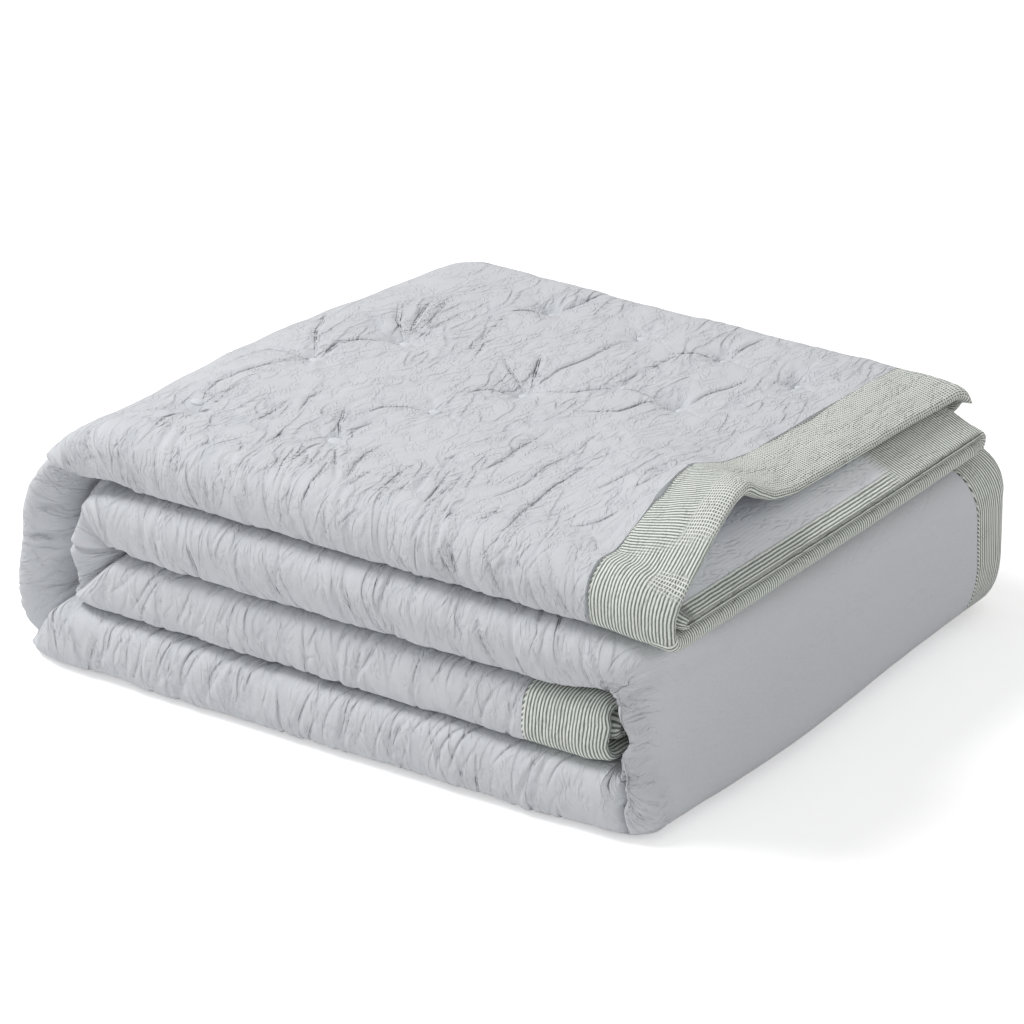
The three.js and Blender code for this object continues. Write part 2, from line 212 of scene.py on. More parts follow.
@dataclass(frozen=True)
class LipSizes:
    """How the top sheet's free end rises and lies back, from the front to the back."""

    y: tuple[float, ...] = (-246, -228, -199, -163, -136, -112, -90, -60, -27, 130, 208, 240)
    lift: tuple[float, ...] = (0, -3, 14, 35, 45, 46, 32, 15, 7, 3, 0, -3)
    set_back: tuple[float, ...] = (0, 1, 4, 8, 12, 16, 20, 26, 28, 28, 26, 22)
    blur: float = 4.0
    lift_reach: float = 220.0
    lift_drift: float = 0.36
    lift_power: float = 1.3
    lift_levels: float = 2.5
    set_back_reach: float = 150.0
    curl: float = 9.0
    roll_keep: float = 1.15
    pair_keep: float = 0.45
    squeeze_reach: float = 50.0
    sag: float = 4.0
    sag_reach: float = 60.0

    def read(self, column: tuple[float, ...], y: Array) -> Array:
        """Reads a column at y, with its corners rounded.

        Args:
            column: The values at the table's y lines.
            y: Where to read.

        Returns:
            The column's value at each y.
        """
        at = np.arange(-300.0, 300.0, 1.0)
        kernel = np.exp(-((np.arange(-20, 21) / self.blur) ** 2) / 2)
        soft = np.convolve(np.pad(np.interp(at, self.y, column), 20, "edge"), kernel, "valid")
        return np.interp(y, at, soft / kernel.sum())


SIZES = FoldSizes()
LIP = LipSizes()


# Stations along the roll


@dataclass
class Stations:
    """Places along the roll, as arrays with one value a station."""

    x: Array
    z: Array
    out_x: Array
    out_z: Array
    thick: Array
    full: Array
    front: Array
    back: Array
    flat: Array
    to_lip: Array
    to_end: Array
    roll: Array
    cap: Array

    @property
    def count(self) -> int:
        """Returns how many stations there are."""
        return len(self.x)

    def column(self, name: str) -> Array:
        """Returns one field as a column, ready to be spread over the knots."""
        return getattr(self, name)[:, None]

    def closed(self, first: bool = True, last: bool = True) -> "Stations":
        """Adds a station of no thickness at the ends, which closes the cloth there.

        Args:
            first: Whether the first end is closed.
            last: Whether the last end is closed.

        Returns:
            The stations with their closing ones.
        """
        ends = ([0] if first else []) + list(range(self.count)) + ([-1] if last else [])
        found = Stations(**{f.name: getattr(self, f.name)[ends] for f in fields(Stations)})
        found.cap = found.cap.copy()
        if first:
            found.cap[0] = 0
        if last:
            found.cap[-1] = 0
        return found

    def thinned(self, skip: int) -> "Stations":
        """Returns one station of every few, with both ends kept."""
        kept = sorted({*range(0, self.count, skip), 1, self.count - 2, self.count - 1})
        return Stations(**{f.name: getattr(self, f.name)[kept] for f in fields(Stations)})


def join(parts: list[Stations]) -> Stations:
    """Returns one run of stations made of several, each of which starts where the last one ends."""
    rest = [slice(0 if i == 0 else 1, None) for i in range(len(parts))]
    names = [f.name for f in fields(Stations)]
    return Stations(**{n: np.concatenate([getattr(p, n)[r] for p, r in zip(parts, rest)]) for n in names})


@dataclass(frozen=True)
class Run:
    """A straight stretch of the roll."""

    start: tuple[float, float]
    end: tuple[float, float]
    thick: tuple[float, ...]
    front: tuple[float, ...]
    back: tuple[float, ...]
    flat: tuple[float, ...]

    @property
    def length(self) -> float:
        """Returns the stretch's length."""
        return math.dist(self.start, self.end)

    def at(self, t: Array, roll: float) -> Stations:
        """Places stations on the stretch.

        Args:
            t: Where, from 0 to 1.
            roll: The roll's length before this stretch.

        Returns:
            The stations.
        """
        along = np.array(self.end, float) - np.array(self.start, float)
        along /= np.linalg.norm(along)
        one = np.ones_like(t)
        return Stations(
            x=spread((self.start[0], self.end[0]), t),
            z=spread((self.start[1], self.end[1]), t),
            out_x=one * along[1],
            out_z=one * -along[0],
            thick=spread(self.thick, t),
            full=0 * one,
            front=spread(self.front, t),
            back=spread(self.back, t),
            flat=spread(self.flat, t),
            to_lip=one * FAR,
            to_end=one * FAR,
            roll=roll + t * self.length,
            cap=one,
        )


@dataclass(frozen=True)
class Turn:
    """A stretch of the roll that bends round a centre."""

    centre: tuple[float, float]
    degrees: tuple[float, float]
    radius: tuple[float, ...]
    thick: tuple[float, ...]
    front: tuple[float, ...]
    back: tuple[float, ...]
    flat: tuple[float, ...]
    tuck: float = 0.0
    fullness: float = 0.0

    @property
    def length(self) -> float:
        """Returns the length of the outer face, near enough."""
        outer = sum(self.radius) / len(self.radius) + sum(self.thick) / len(self.thick) / 3
        return math.radians(abs(self.degrees[1] - self.degrees[0])) * outer

    def at(self, t: Array, roll: float) -> Stations:
        """Places stations on the bend.

        Args:
            t: Where, from 0 to 1.
            roll: The roll's length before this bend.

        Returns:
            The stations.
        """
        angle = np.radians(spread(self.degrees, t))
        radius = spread(self.radius, t)
        bend = np.sin(2 * angle) ** 2
        one = np.ones_like(t)
        return Stations(
            x=self.centre[0] + radius * np.cos(angle),
            z=self.centre[1] + radius * np.sin(angle),
            out_x=np.cos(angle),
            out_z=np.sin(angle),
            thick=spread(self.thick, t),
            full=self.fullness * bend,
            front=spread(self.front, t) + self.tuck * bend,
            back=spread(self.back, t) - self.tuck * bend,
            flat=spread(self.flat, t),
            to_lip=one * FAR,
            to_end=one * FAR,
            roll=roll + t * self.length,
            cap=one,
        )


class Stretch(Enum):
    """The stretches of the roll, from the lip inwards."""

    TOP = 0
    SOFT_TURN = 1
    LEFT_WALL = 2
    LEFT_TURN = 3
    BOTTOM = 4
    RIGHT_TURN = 5
    RIGHT_WALL = 6
    HIGH_TURN = 7
    SECOND = 8
    INNER_TURN = 9
    THIRD = 10


@dataclass
class Roll:
    """The whole roll of the duvet, stretch by stretch."""

    sizes: FoldSizes = SIZES
    stretches: list[Run | Turn] = field(default_factory=list)

    def __post_init__(self) -> None:
        """Lays the stretches end to end."""
        s = self.sizes
        front, past = s.front, s.past_bend
        left_line = s.wall_left + s.left_wall / 2
        right_line = s.wall_right - s.right_wall / 2
        soft_x, soft_z = s.wall_left + s.soft_corner, s.top.high - s.soft_corner
        slack = s.soft_thickness
        soft = (s.top.height, slack + 4, slack, slack + 4, s.left_wall)
        left_x, right_x = left_line + s.tight_corner, right_line - s.tight_corner
        inner_x = s.wall_left + s.left_wall + s.ease + (s.second.height + s.third.height) / 2
        low_z = s.bottom.middle + s.tight_corner
        high_radius = s.second.height / 2 + s.ease
        high_z = s.second.middle - high_radius
        tight = (s.tight_corner, s.tight_corner)
        bottom, second, third = s.bottom.height, s.second.height, s.third.height
        self.stretches = [
            Run((s.lip, s.top.middle), (soft_x, s.top.middle), (s.top.height,) * 2,
                (front, front + 1), (236, 236), (past, past)),
            Turn((soft_x, soft_z), (90, 180), tuple(s.soft_corner - t / 2 for t in soft), soft,
                 (front + 1, front + 6), (236, 240), (past, 6)),
            Run((left_line, soft_z), (left_line, low_z), (s.left_wall,) * 2,
                (front + 6, front + 6), (240, 244), (6, 12)),
            Turn((left_x, low_z), (180, 270), tight, (s.left_wall, bottom),
                 (front + 6, front), (244, 248), (12, 14), s.tuck, s.fullness),
            Run((left_x, s.bottom.middle), (right_x, s.bottom.middle), (bottom,) * 2,
                (front, front), (248, 252), (14, 20, 38)),
            Turn((right_x, low_z), (270, 360), tight, (bottom, s.right_wall),
                 (front, front + 5), (252, 257), (38, 26), s.tuck / 2, s.fullness),
            Run((right_line, low_z), (right_line, high_z), (s.right_wall,) * 2,
                (front + 5, front + 5), (257, 257), (26, 28)),
            Turn((right_x, high_z), (0, 90), (s.tight_corner, high_radius), (s.right_wall, second),
                 (front + 5, front + 2), (257, 254), (28, 50), s.tuck / 2, s.fullness),
            Run((right_x, s.second.middle), (inner_x, s.second.middle), (second,) * 2,
                (front + 2, front + 1), (254, 250), (50, 24)),
            Turn((inner_x, s.second.low), (90, 270), (second / 2, third / 2), (second, third),
                 (front + 1, front + 3), (250, 247), (24, 22), s.tuck, s.inner_fullness),
            Run((inner_x, s.third.middle), (s.inner_end, s.third.middle), (third,) * 2,
                (front + 3, front + 4), (247, 245), (22, 18)),
        ]

    def start_of(self, stretch: Stretch) -> float:
        """Returns the roll's length before a stretch."""
        return sum(s.length for s in self.stretches[: stretch.value])

    def take(self, stretch: Stretch, distances: Array) -> Stations:
        """Places stations on one stretch.

        Args:
            stretch: Which stretch.
            distances: Millimetres from the stretch's start.

        Returns:
            The stations, with their distances to the bound ends.
        """
        run = self.stretches[stretch.value]
        found = run.at(distances / run.length, self.start_of(stretch))
        if stretch is Stretch.TOP:
            found.to_lip = distances.astype(float)
        if stretch is Stretch.THIRD:
            found.to_end = run.length - distances
        return found

    def whole(self, stretch: Stretch, step: float) -> Stations:
        """Returns stations over a whole stretch, about step apart."""
        return self.take(stretch, steps(0, self.stretches[stretch.value].length, step))


ROLL = Roll()


# Knots round one layer's section


@dataclass
class Knots:
    """Points on the sheet's middle line, as arrays of stations by knots.

    y and n are the place, n outwards from the layer's centre line. my and mn point to the sheet's
    outer side. cross is the distance from the front fold along the sheet, seam the distance from
    the nearest long seam, across the distance from the long hem, and reach the thickness share.
    """

    y: Array
    n: Array
    my: Array
    mn: Array
    cross: Array
    seam: Array
    across: Array
    reach: Array
    outer: Array


def edge_knots(st: Stations, along: Array, width: Array) -> Knots:
    """Knots of the outer sheet where it bends over the back edge.

    Args:
        st: The stations.
        along: Distances past the point where the sheet starts to bend, stations by knots.
        width: The outer border's width at each station, as a column.

    Returns:
        The knots.
    """
    radius = SIZES.bend
    back = st.column("back") - SIZES.pitch / 2
    front = st.column("front") + SIZES.pitch / 2
    angle = np.maximum(0, np.pi / 2 - np.maximum(0, along) / radius)
    hang = np.maximum(0, along - radius * np.pi / 2)
    across = width - st.column("flat") - along
    return Knots(
        y=back + radius * np.cos(angle) + np.minimum(0, along),
        n=radius * np.sin(angle) - hang,
        my=np.cos(angle),
        mn=np.sin(angle),
        cross=radius * np.pi / 2 + back - front + along,
        seam=np.abs(along + st.column("flat")),
        across=across,
        reach=np.ones_like(along),
        outer=np.ones_like(along),
    )


def flat_knots(st: Stations, y: Array, n: float, side: float, outer: bool) -> Knots:
    """Knots on a flat stretch of a sheet.

    Args:
        st: The stations.
        y: The knots' y, stations by knots.
        n: The sheet's height in the layer.
        side: 1 where the sheet's outer side faces outwards, -1 where it faces inwards.
        outer: Whether it is the outer sheet.

    Returns:
        The knots.
    """
    front = st.column("front") + SIZES.pitch / 2
    back = st.column("back") - SIZES.pitch / 2
    one = np.ones_like(y)
    top = outer and n > 0
    cross = SIZES.bend * np.pi / 2 + y - front
    return Knots(
        y=y,
        n=one * n,
        my=0 * one,
        mn=one * side,
        cross=cross if top else -cross,
        seam=np.abs(back - st.column("flat") - y) if top else one * FAR,
        across=one * FAR,
        reach=one,
        outer=one * outer,
    )


def squareness(st: Stations, angle: Array) -> Array:
    """Returns how much farther out a fold's knots lie than on a circle, where the folds press flat."""
    under = smooth(-np.sin(angle) * SIZES.square_blend)
    inner = smooth((st.column("roll") - SIZES.square_from) / SIZES.square_fade)
    power = 2 + (SIZES.square - 2) * np.maximum(under, inner)
    return (np.abs(np.cos(angle)) ** power + np.abs(np.sin(angle)) ** power) ** (-1 / power)


def arc_knots(
    st: Stations, y: Array, n: float, radius: float, degrees: Array, side: float, outer: bool
) -> Knots:
    """Knots round a fold.

    Args:
        st: The stations.
        y: The fold's centre at each station, as a column.
        n: The centre's height in the layer.
        radius: The middle line's radius.
        degrees: The knots' angles.
        side: 1 where the sheet's outer side is on the outside of the fold, -1 on the inside.
        outer: Whether it is the outer sheet.

    Returns:
        The knots.
    """
    angle = np.radians(degrees)[None, :] + 0 * y
    one = np.ones_like(angle)
    out = radius * (squareness(st, angle) if outer else one)
    return Knots(
        y=y + out * np.cos(angle),
        n=n + out * np.sin(angle),
        my=side * np.cos(angle),
        mn=side * np.sin(angle),
        cross=radius * (np.pi - angle) if outer else -SIZES.depth - radius * angle,
        seam=one * FAR,
        across=one * FAR,
        reach=one,
        outer=one * outer,
    )


def side_by_side(parts: list[Knots]) -> Knots:
    """Returns one row of knots made of several."""
    return Knots(**{f.name: np.hstack([getattr(p, f.name) for p in parts]) for f in fields(Knots)})


def ending(knots: Knots, first: bool, last: bool) -> Knots:
    """Adds a knot of no thickness at the ends, which closes the cloth there.

    Args:
        knots: The knots.
        first: Whether the first end is closed.
        last: Whether the last end is closed.

    Returns:
        The knots with their closing ones.
    """
    count = knots.y.shape[1]
    ends = ([0] if first else []) + list(range(count)) + ([count - 1] if last else [])
    found = Knots(**{f.name: getattr(knots, f.name)[:, ends].copy() for f in fields(Knots)})
    if first:
        found.reach[:, 0] = 0
    if last:
        found.reach[:, -1] = 0
    return found


@dataclass(frozen=True)
class Sampling:
    """How finely a section is sampled: knots over the flat outer face, round the front fold,
    over the long border, and on each stretch inside the layer."""

    face: int = 24
    nose: int = 30
    border: int = 8
    inside: int = 6


class Cut(Enum):
    """The pieces of cloth that a section is cut into."""

    QUILT = "quilt"
    OUTER = "long border, outer"
    INNER = "long border, inner"
    WHOLE = "whole"


HEM_STEPS = np.array([0, 0.4, 1.2, 2.4, 4.0, 8.0])
HEM_SHARES = np.array([0, 0.03, 0.1, 0.2, 0.3, 0.5])


@dataclass(frozen=True)
class Section:
    """One layer's section, from the outer long border round all four sheets."""

    sampling: Sampling
    sizes: FoldSizes = SIZES

    def border_width(self, st: Stations) -> Array:
        """Returns the outer long border's width at each station, as a column."""
        s = self.sizes
        plain = np.minimum(s.long_border, st.column("flat") + s.overhang)
        to_lip = st.column("to_lip")
        lip = LIP.curl + (s.past_bend + s.overhang - LIP.curl) * smooth(to_lip / s.end_border)
        return np.where(to_lip < FAR / 2, lip, plain)

    def outer_border(self, st: Stations) -> Knots:
        """Returns the outer long border's knots, from its hem to its seam."""
        width = self.border_width(st)
        flat = st.column("flat")
        near = width - flat - np.minimum(HEM_STEPS[None, :], width * HEM_SHARES)
        t = np.linspace(0, 1, self.sampling.border + 1)[None, 1:]
        along = np.hstack([near, near[:, -1:] + (-flat - near[:, -1:]) * t])
        knots = edge_knots(st, along, width)
        knots.reach = self.hem_reach(knots.across)
        return knots

    def inner_border(self, st: Stations) -> Knots:
        """Returns the inner long border's knots, from its seam to its hem."""
        s = self.sizes
        hem_y = st.column("back") - s.pitch / 2 - s.hem_back
        t = np.linspace(0, 1, self.sampling.border + 1)[None, :-1]
        start = hem_y - s.long_border
        y = np.hstack([start + (s.long_border - HEM_STEPS[-1]) * t, hem_y - HEM_STEPS[None, ::-1]])
        knots = flat_knots(st, y, 0.5 * s.level, -1, False)
        knots.across = hem_y - y
        knots.seam = y - start
        knots.reach = self.hem_reach(knots.across)
        return knots

    def hem_reach(self, across: Array) -> Array:
        """Returns the share of the thickness that is left at a distance from a long hem."""
        s = self.sizes
        full = s.hem + (1 - s.hem) * smooth(across / s.long_hem_fade)
        share = np.clip(across, 0, s.long_hem_round) / s.long_hem_round
        return full * np.sqrt(np.clip(1 - (1 - share) ** 2, 0, 1))

    def quilt(self, st: Stations) -> Knots:
        """Returns the quilt's knots, from the outer seam to the inner seam."""
        s, samples = self.sizes, self.sampling
        front = st.column("front") + s.pitch / 2
        back = st.column("back") - s.pitch / 2
        flat = st.column("flat")
        past = np.minimum(0, -flat - s.bend_run)
        bending = np.linspace(0, 1, 6)[None, :-1]
        along = -flat - s.seam + (past + flat + s.seam) * bending
        face = np.linspace(0, 1, samples.face + 1)[None, :-1]
        inside = np.linspace(0, 1, samples.inside + 2)[None, 1:-1]
        seam_y = back - s.hem_back - s.long_border - s.seam
        inner = back - s.inner_back
        level, bend = s.level, s.bend
        return side_by_side([
            edge_knots(st, along, self.border_width(st)),
            flat_knots(st, back + past + (front - back - past) * face, bend, 1, True),
            arc_knots(st, front, 0, bend, np.linspace(90, 270, samples.nose + 1), 1, True),
            flat_knots(st, front + (inner - front) * inside, -bend, -1, True),
            arc_knots(st, inner, -level, level / 2, np.linspace(-90, 90, 7), 1, False),
            flat_knots(st, inner + (front - inner) * inside, -level / 2, 1, False),
            arc_knots(st, front, 0, level / 2, np.linspace(270, 90, 7), -1, False),
            flat_knots(st, front + (seam_y - front) * np.append(inside, 1)[None, :], level / 2, -1, False),
        ])

    def cut(self, st: Stations, cut: Cut) -> Knots:
        """Returns the knots of one piece of cloth.

        Args:
            st: The stations.
            cut: Which piece.

        Returns:
            The piece's knots, closed at their ends.
        """
        if cut is Cut.QUILT:
            return ending(self.quilt(st), True, True)
        if cut is Cut.OUTER:
            return ending(self.outer_border(st), False, True)
        if cut is Cut.INNER:
            return ending(self.inner_border(st), True, False)
        whole = side_by_side([self.outer_border(st), self.quilt(st), self.inner_border(st)])
        whole.reach = np.minimum(whole.reach, 1)
        return whole


# From the roll to the folded stack


@dataclass(frozen=True)
class Tuft:
    """One tied tuft on the top, before the stack is sheared."""

    x: float
    y: float
    depth: float
    knot: float

    @property
    def chart(self) -> tuple[float, float]:
        """Returns the tuft's place as roll and cross distances."""
        front = SIZES.front + SIZES.pitch / 2
        roll = SIZES.lip - self.x
        set_back = LIP.read(LIP.set_back, self.y) * max(0.0, 1 - roll / LIP.set_back_reach)
        return roll - set_back, SIZES.bend * math.pi / 2 + self.y - front


TUFTS = (
    Tuft(-181, -168, 5, 0.9),
    Tuft(-174, -34, 7, 0.8),
    Tuft(-144, 40, 8, 0.8),
    Tuft(-66, -152, 5, 1.1),
    Tuft(-42, -60, 5, 0.8),
    Tuft(-96, 168, 9, 0.7),
    Tuft(-12, 16, 9, 0.8),
    Tuft(-3, 162, 6, 0.7),
    Tuft(77, 162, 8, 0.7),
    Tuft(155, 152, 9, 0.7),
    Tuft(103, 62, 9, 0.8),
    Tuft(186, -80, 8, 0.9),
)


def hem_share(st: Stations, n: Array) -> Array:
    """Returns the thickness that is left towards a bound end, closed round at the very end."""
    s = SIZES
    to_end = np.minimum(st.column("to_lip"), st.column("to_end"))
    low_roll = (st.column("to_lip") < FAR / 2) & (n < s.level - (s.pitch - s.ease) / 2)
    hem = np.where(low_roll, s.roll_hem, s.hem)
    rounding = np.where(low_roll, s.end_roll_round, HEM_ROUND)
    closing = np.sqrt(np.clip(1 - (1 - np.clip(to_end / rounding, 0, 1)) ** 2, 0, 1))
    return (hem + (1 - hem) * smooth(to_end / s.end_hem_fade)) * closing


def place(st: Stations, y: Array, n: Array, outer: Array) -> Array:
    """Places points of the stations' sections in the stack, before it is sheared.

    Args:
        st: The stations.
        y: The points' y, stations by knots.
        n: Their distance outwards from the layer's centre line.
        outer: 1 on the outer sheet.

    Returns:
        The places, with x, y and z last.
    """
    s = SIZES
    half = (s.pitch - s.ease) / 2
    to_lip = np.minimum(st.column("to_lip"), LIP.lift_reach)
    whole = smooth(to_lip / LIP.squeeze_reach)
    roll_top, pair_top = s.level - half, half - s.level
    roll = (np.minimum(n, roll_top) + half) * (LIP.roll_keep + (1 - LIP.roll_keep) * whole)
    pair = (np.clip(n, roll_top, pair_top) - roll_top) * (LIP.pair_keep + (1 - LIP.pair_keep) * whole)
    sag = LIP.sag * np.maximum(0, 1 - to_lip / LIP.sag_reach) ** 2
    level = roll + pair + np.maximum(0, n - pair_top) - half - sag
    share = outer * smooth((n + s.level) / (LIP.lift_levels * s.level))
    fade = (1 - to_lip / LIP.lift_reach) ** LIP.lift_power
    lift = LIP.read(LIP.lift, y - LIP.lift_drift * to_lip)
    squeezed = (1 - LIP.roll_keep) * s.level + (1 - LIP.pair_keep) * (pair_top - roll_top)
    level = level + share * (fade * lift + (1 - whole) * squeezed)
    set_back = share * LIP.read(LIP.set_back, y) * np.maximum(0, 1 - to_lip / LIP.set_back_reach)
    scale = st.column("thick") / s.pitch * (1 + np.where(level > 0, st.column("full"), 0))
    x = st.column("x") + st.column("out_x") * level * scale - set_back
    z = st.column("z") + st.column("out_z") * level * scale
    return np.stack([x, y + 0 * x, z], axis=-1)


@dataclass(frozen=True)
class Recess:
    """A part of the stack's front that lies deeper than the folds round it, and deeper still to the
    right by its slope."""

    depth: float
    edge: float
    outline: tuple[tuple[float, float], ...]
    slope: float = 0.0
    behind: float = -165.0
    fade: float = 60.0

    def inside(self, x: Array, z: Array) -> Array:
        """Returns how far inside the outline each point lies, negative outside."""
        nearest = np.abs(to_line(np.stack([x, z], -1), (*self.outline, self.outline[0]))[0])
        corners = np.array(self.outline, float)
        within = np.zeros(x.shape, bool)
        for a, b in zip(corners, np.roll(corners, -1, axis=0)):
            rise = b[1] - a[1] or 1e-9
            within ^= ((a[1] > z) != (b[1] > z)) & (x < (b[0] - a[0]) * (z - a[1]) / rise + a[0])
        return np.where(within, nearest, -nearest)

    def move(self, points: Array) -> Array:
        """Returns the points with those inside the outline moved back."""
        sunk = smooth((self.inside(points[..., 0], points[..., 2]) + self.edge / 2) / self.edge)
        left = min(corner[0] for corner in self.outline)
        depth = self.depth + self.slope * (points[..., 0] - left)
        moved = points.copy()
        moved[..., 1] += depth * sunk * smooth((self.behind - points[..., 1]) / self.fade)
        return moved


@dataclass(frozen=True)
class Slit:
    """A sharp line on the stack's front, where two folds press against each other."""

    depth: float
    width: float
    line: tuple[tuple[float, float], ...]
    behind: float = -185.0
    fade: float = 40.0

    def move(self, points: Array) -> Array:
        """Returns the points with those near the line moved back."""
        away, _ = to_line(points[..., [0, 2]], self.line)
        near = np.exp(-((away / self.width) ** 2))
        moved = points.copy()
        moved[..., 1] += self.depth * near * smooth((self.behind - points[..., 1]) / self.fade)
        return moved


@dataclass(frozen=True)
class Pull:
    """A soft move of the cloth round one point of the stack."""

    at: tuple[float, float, float]
    reach: tuple[float, float, float]
    by: tuple[float, float, float]

    def move(self, points: Array) -> Array:
        """Returns the points with those near the middle moved."""
        away = (points - np.array(self.at)) / np.array(self.reach)
        return points + np.exp(-(away**2).sum(-1, keepdims=True)) * np.array(self.by)


@dataclass(frozen=True)
class WallEdge:
    """The puckered front edge of the smooth right side, from the bottom to the top."""

    z: tuple[float, ...] = (0, 5, 14, 27, 35, 44, 52, 58, 65, 71, 80, 88, 95, 102, 110, 118, 124, 130)
    x: tuple[float, ...] = (
        248, 248, 250, 249, 252, 248, 251, 249, 246, 243, 246, 248, 243, 241, 241, 236, 239, 250
    )
    base: float = 247.0
    reach: float = 16.0
    behind: float = -205.0
    fade: float = 25.0
    top: float = 134.0
    top_fade: float = 8.0

    def move(self, points: Array) -> Array:
        """Returns the points with those along the edge moved sideways."""
        x, y, z = points[..., 0], points[..., 1], points[..., 2]
        shift = np.interp(z, self.z, self.x) - self.base
        near = np.exp(-(((x - self.base) / self.reach) ** 2)) * smooth((self.behind - y) / self.fade)
        moved = points.copy()
        moved[..., 0] += shift * near * smooth((self.top - z) / self.top_fade)
        return moved


@dataclass(frozen=True)
class SideDraw:
    """How the smooth right side draws in towards its front edge."""

    y: tuple[float, ...] = (-246, -219, -200, -150, -80, 0)
    shift: tuple[float, ...] = (-26, -26, -17, -7, -2, 0)
    from_x: float = 246.0
    over: float = 40.0
    below: float = 158.0
    top_fade: float = 30.0
    ground_fade: float = 60.0

    def move(self, points: Array) -> Array:
        """Returns the points of the right side moved in."""
        x, y, z = points[..., 0], points[..., 1], points[..., 2]
        moved = points.copy()
        share = smooth((x - self.from_x) / self.over) * smooth((self.below - z) / self.top_fade)
        share = share * smooth(z / self.ground_fade)
        moved[..., 0] += np.interp(y, self.y, self.shift) * share
        return moved


NOSE = ((-226, 162), (-246, 139), (-252, 112), (-252, 98), (-251, 71))
SHAPING: tuple[Recess | Pull | WallEdge | SideDraw | Slit, ...] = (
    Pull((-255, 10, 200), (130, 150, 90), (-4, 0, 9)),
    Pull((180, 210, 215), (170, 120, 60), (0, 0, 4)),
    Pull((60, -246, 10), (330, 60, 80), (0, -7, 0)),
    Pull((-290, -246, 100), (120, 70, 170), (-13, 0, 0)),
    Pull((-240, -246, 110), (30, 60, 45), (-3, 0, 0)),
    Pull((-318, -246, 110), (26, 60, 90), (7, 0, 0)),
    Pull((-300, -246, 185), (40, 60, 30), (3, 0, -6)),
    Pull((-300, -240, 0), (30, 40, 26), (1, 0, -4)),
    Pull((60, -246, 140), (330, 50, 18), (0, -5, 0)),
    Pull((235, -246, 115), (40, 50, 14), (0, 0, 8)),
    Pull((-240, -246, 66), (36, 60, 22), (-15, 0, -2)),
    Pull((-235, -246, 168), (35, 50, 14), (0, -2, -9)),
    Pull((272, 226, 212), (34, 30, 16), (3, 0, 4)),
    Pull((284, 246, 186), (16, 22, 16), (-12, 0, 2)),
    Pull((290, -60, 0), (60, 130, 45), (10, 0, 0)),
    SideDraw(),
    Recess(2, 4, ((-318, 182), (-272, 168), (-225, 163), *NOSE, (-253, 63), (-280, 34), (-288, 13),
                  (-318, 0)), 0.58),
    Recess(0, 3, ((-243, 143), (-236, 128), (-226, 117), (-212, 113), (-197, 112), (-222, 92), (-248, 66),
                  (-252, 66), (-253, 98), (-252, 112)), 0.42),
    Slit(12, 3.0, ((-275, 169), (-225, 163), (-200, 160))),
    Slit(10, 3.0, NOSE),
    Slit(6, 2.0, ((-242, 142), (-236, 128), (-226, 117), (-212, 113), (-198, 112))),
    Slit(8, 2.5, ((-198, 112), (-222, 92), (-247, 66))),
    Slit(10, 2.5, ((-253, 63), (-268, 50), (-280, 34), (-286, 22), (-288, 13))),
    Slit(5, 2.5, ((-287, 122), (-268, 121), (-251, 117))),
    Slit(5, 2.5, ((-296, 96), (-275, 98), (-255, 104))),
    Slit(5, 2.0, ((-252, 109), (-242, 103), (-221, 103), (-200, 112))),
    Recess(30, 3, ((248, 112), (239, 88), (237, 74), (243, 64), (249, 61), (253, 78), (250, 99))),
    Slit(10, 2.0, ((247, 60), (249, 43), (248, 30), (251, 8))),
    WallEdge(),
)


def shape_stack(points: Array) -> Array:
    """Returns points of the stack with its listed forms worked in."""
    for one in SHAPING:
        points = one.move(points)
    return points


def settle(points: Array, roll: Array) -> Array:
    """Shears the stack sideways, presses its back edges down and brings the origin under it.

    Args:
        points: Places in the stack.
        roll: The roll distance of each point.

    Returns:
        The places in the part's own frame, still in millimetres.
    """
    s = SIZES
    points = shape_stack(points)
    deep = (points[..., 1] - s.front) / s.depth
    across = (points[..., 0] - s.wall_left) / (s.lip - s.wall_left)
    right = s.shear_right * smooth((roll - s.shear_from) / s.shear_fade)
    floor = s.ease / 2 * s.bottom.height / s.pitch
    x = points[..., 0] + deep * (s.shear_left + (right - s.shear_left) * across) - s.middle_x
    z = np.maximum(0, (points[..., 2] - floor) * (1 - s.press * deep))
    return np.stack([x, points[..., 1] - s.middle_y, z], axis=-1)


# Relief of the cloth's outer face


CREASE_ROOM = 7.0


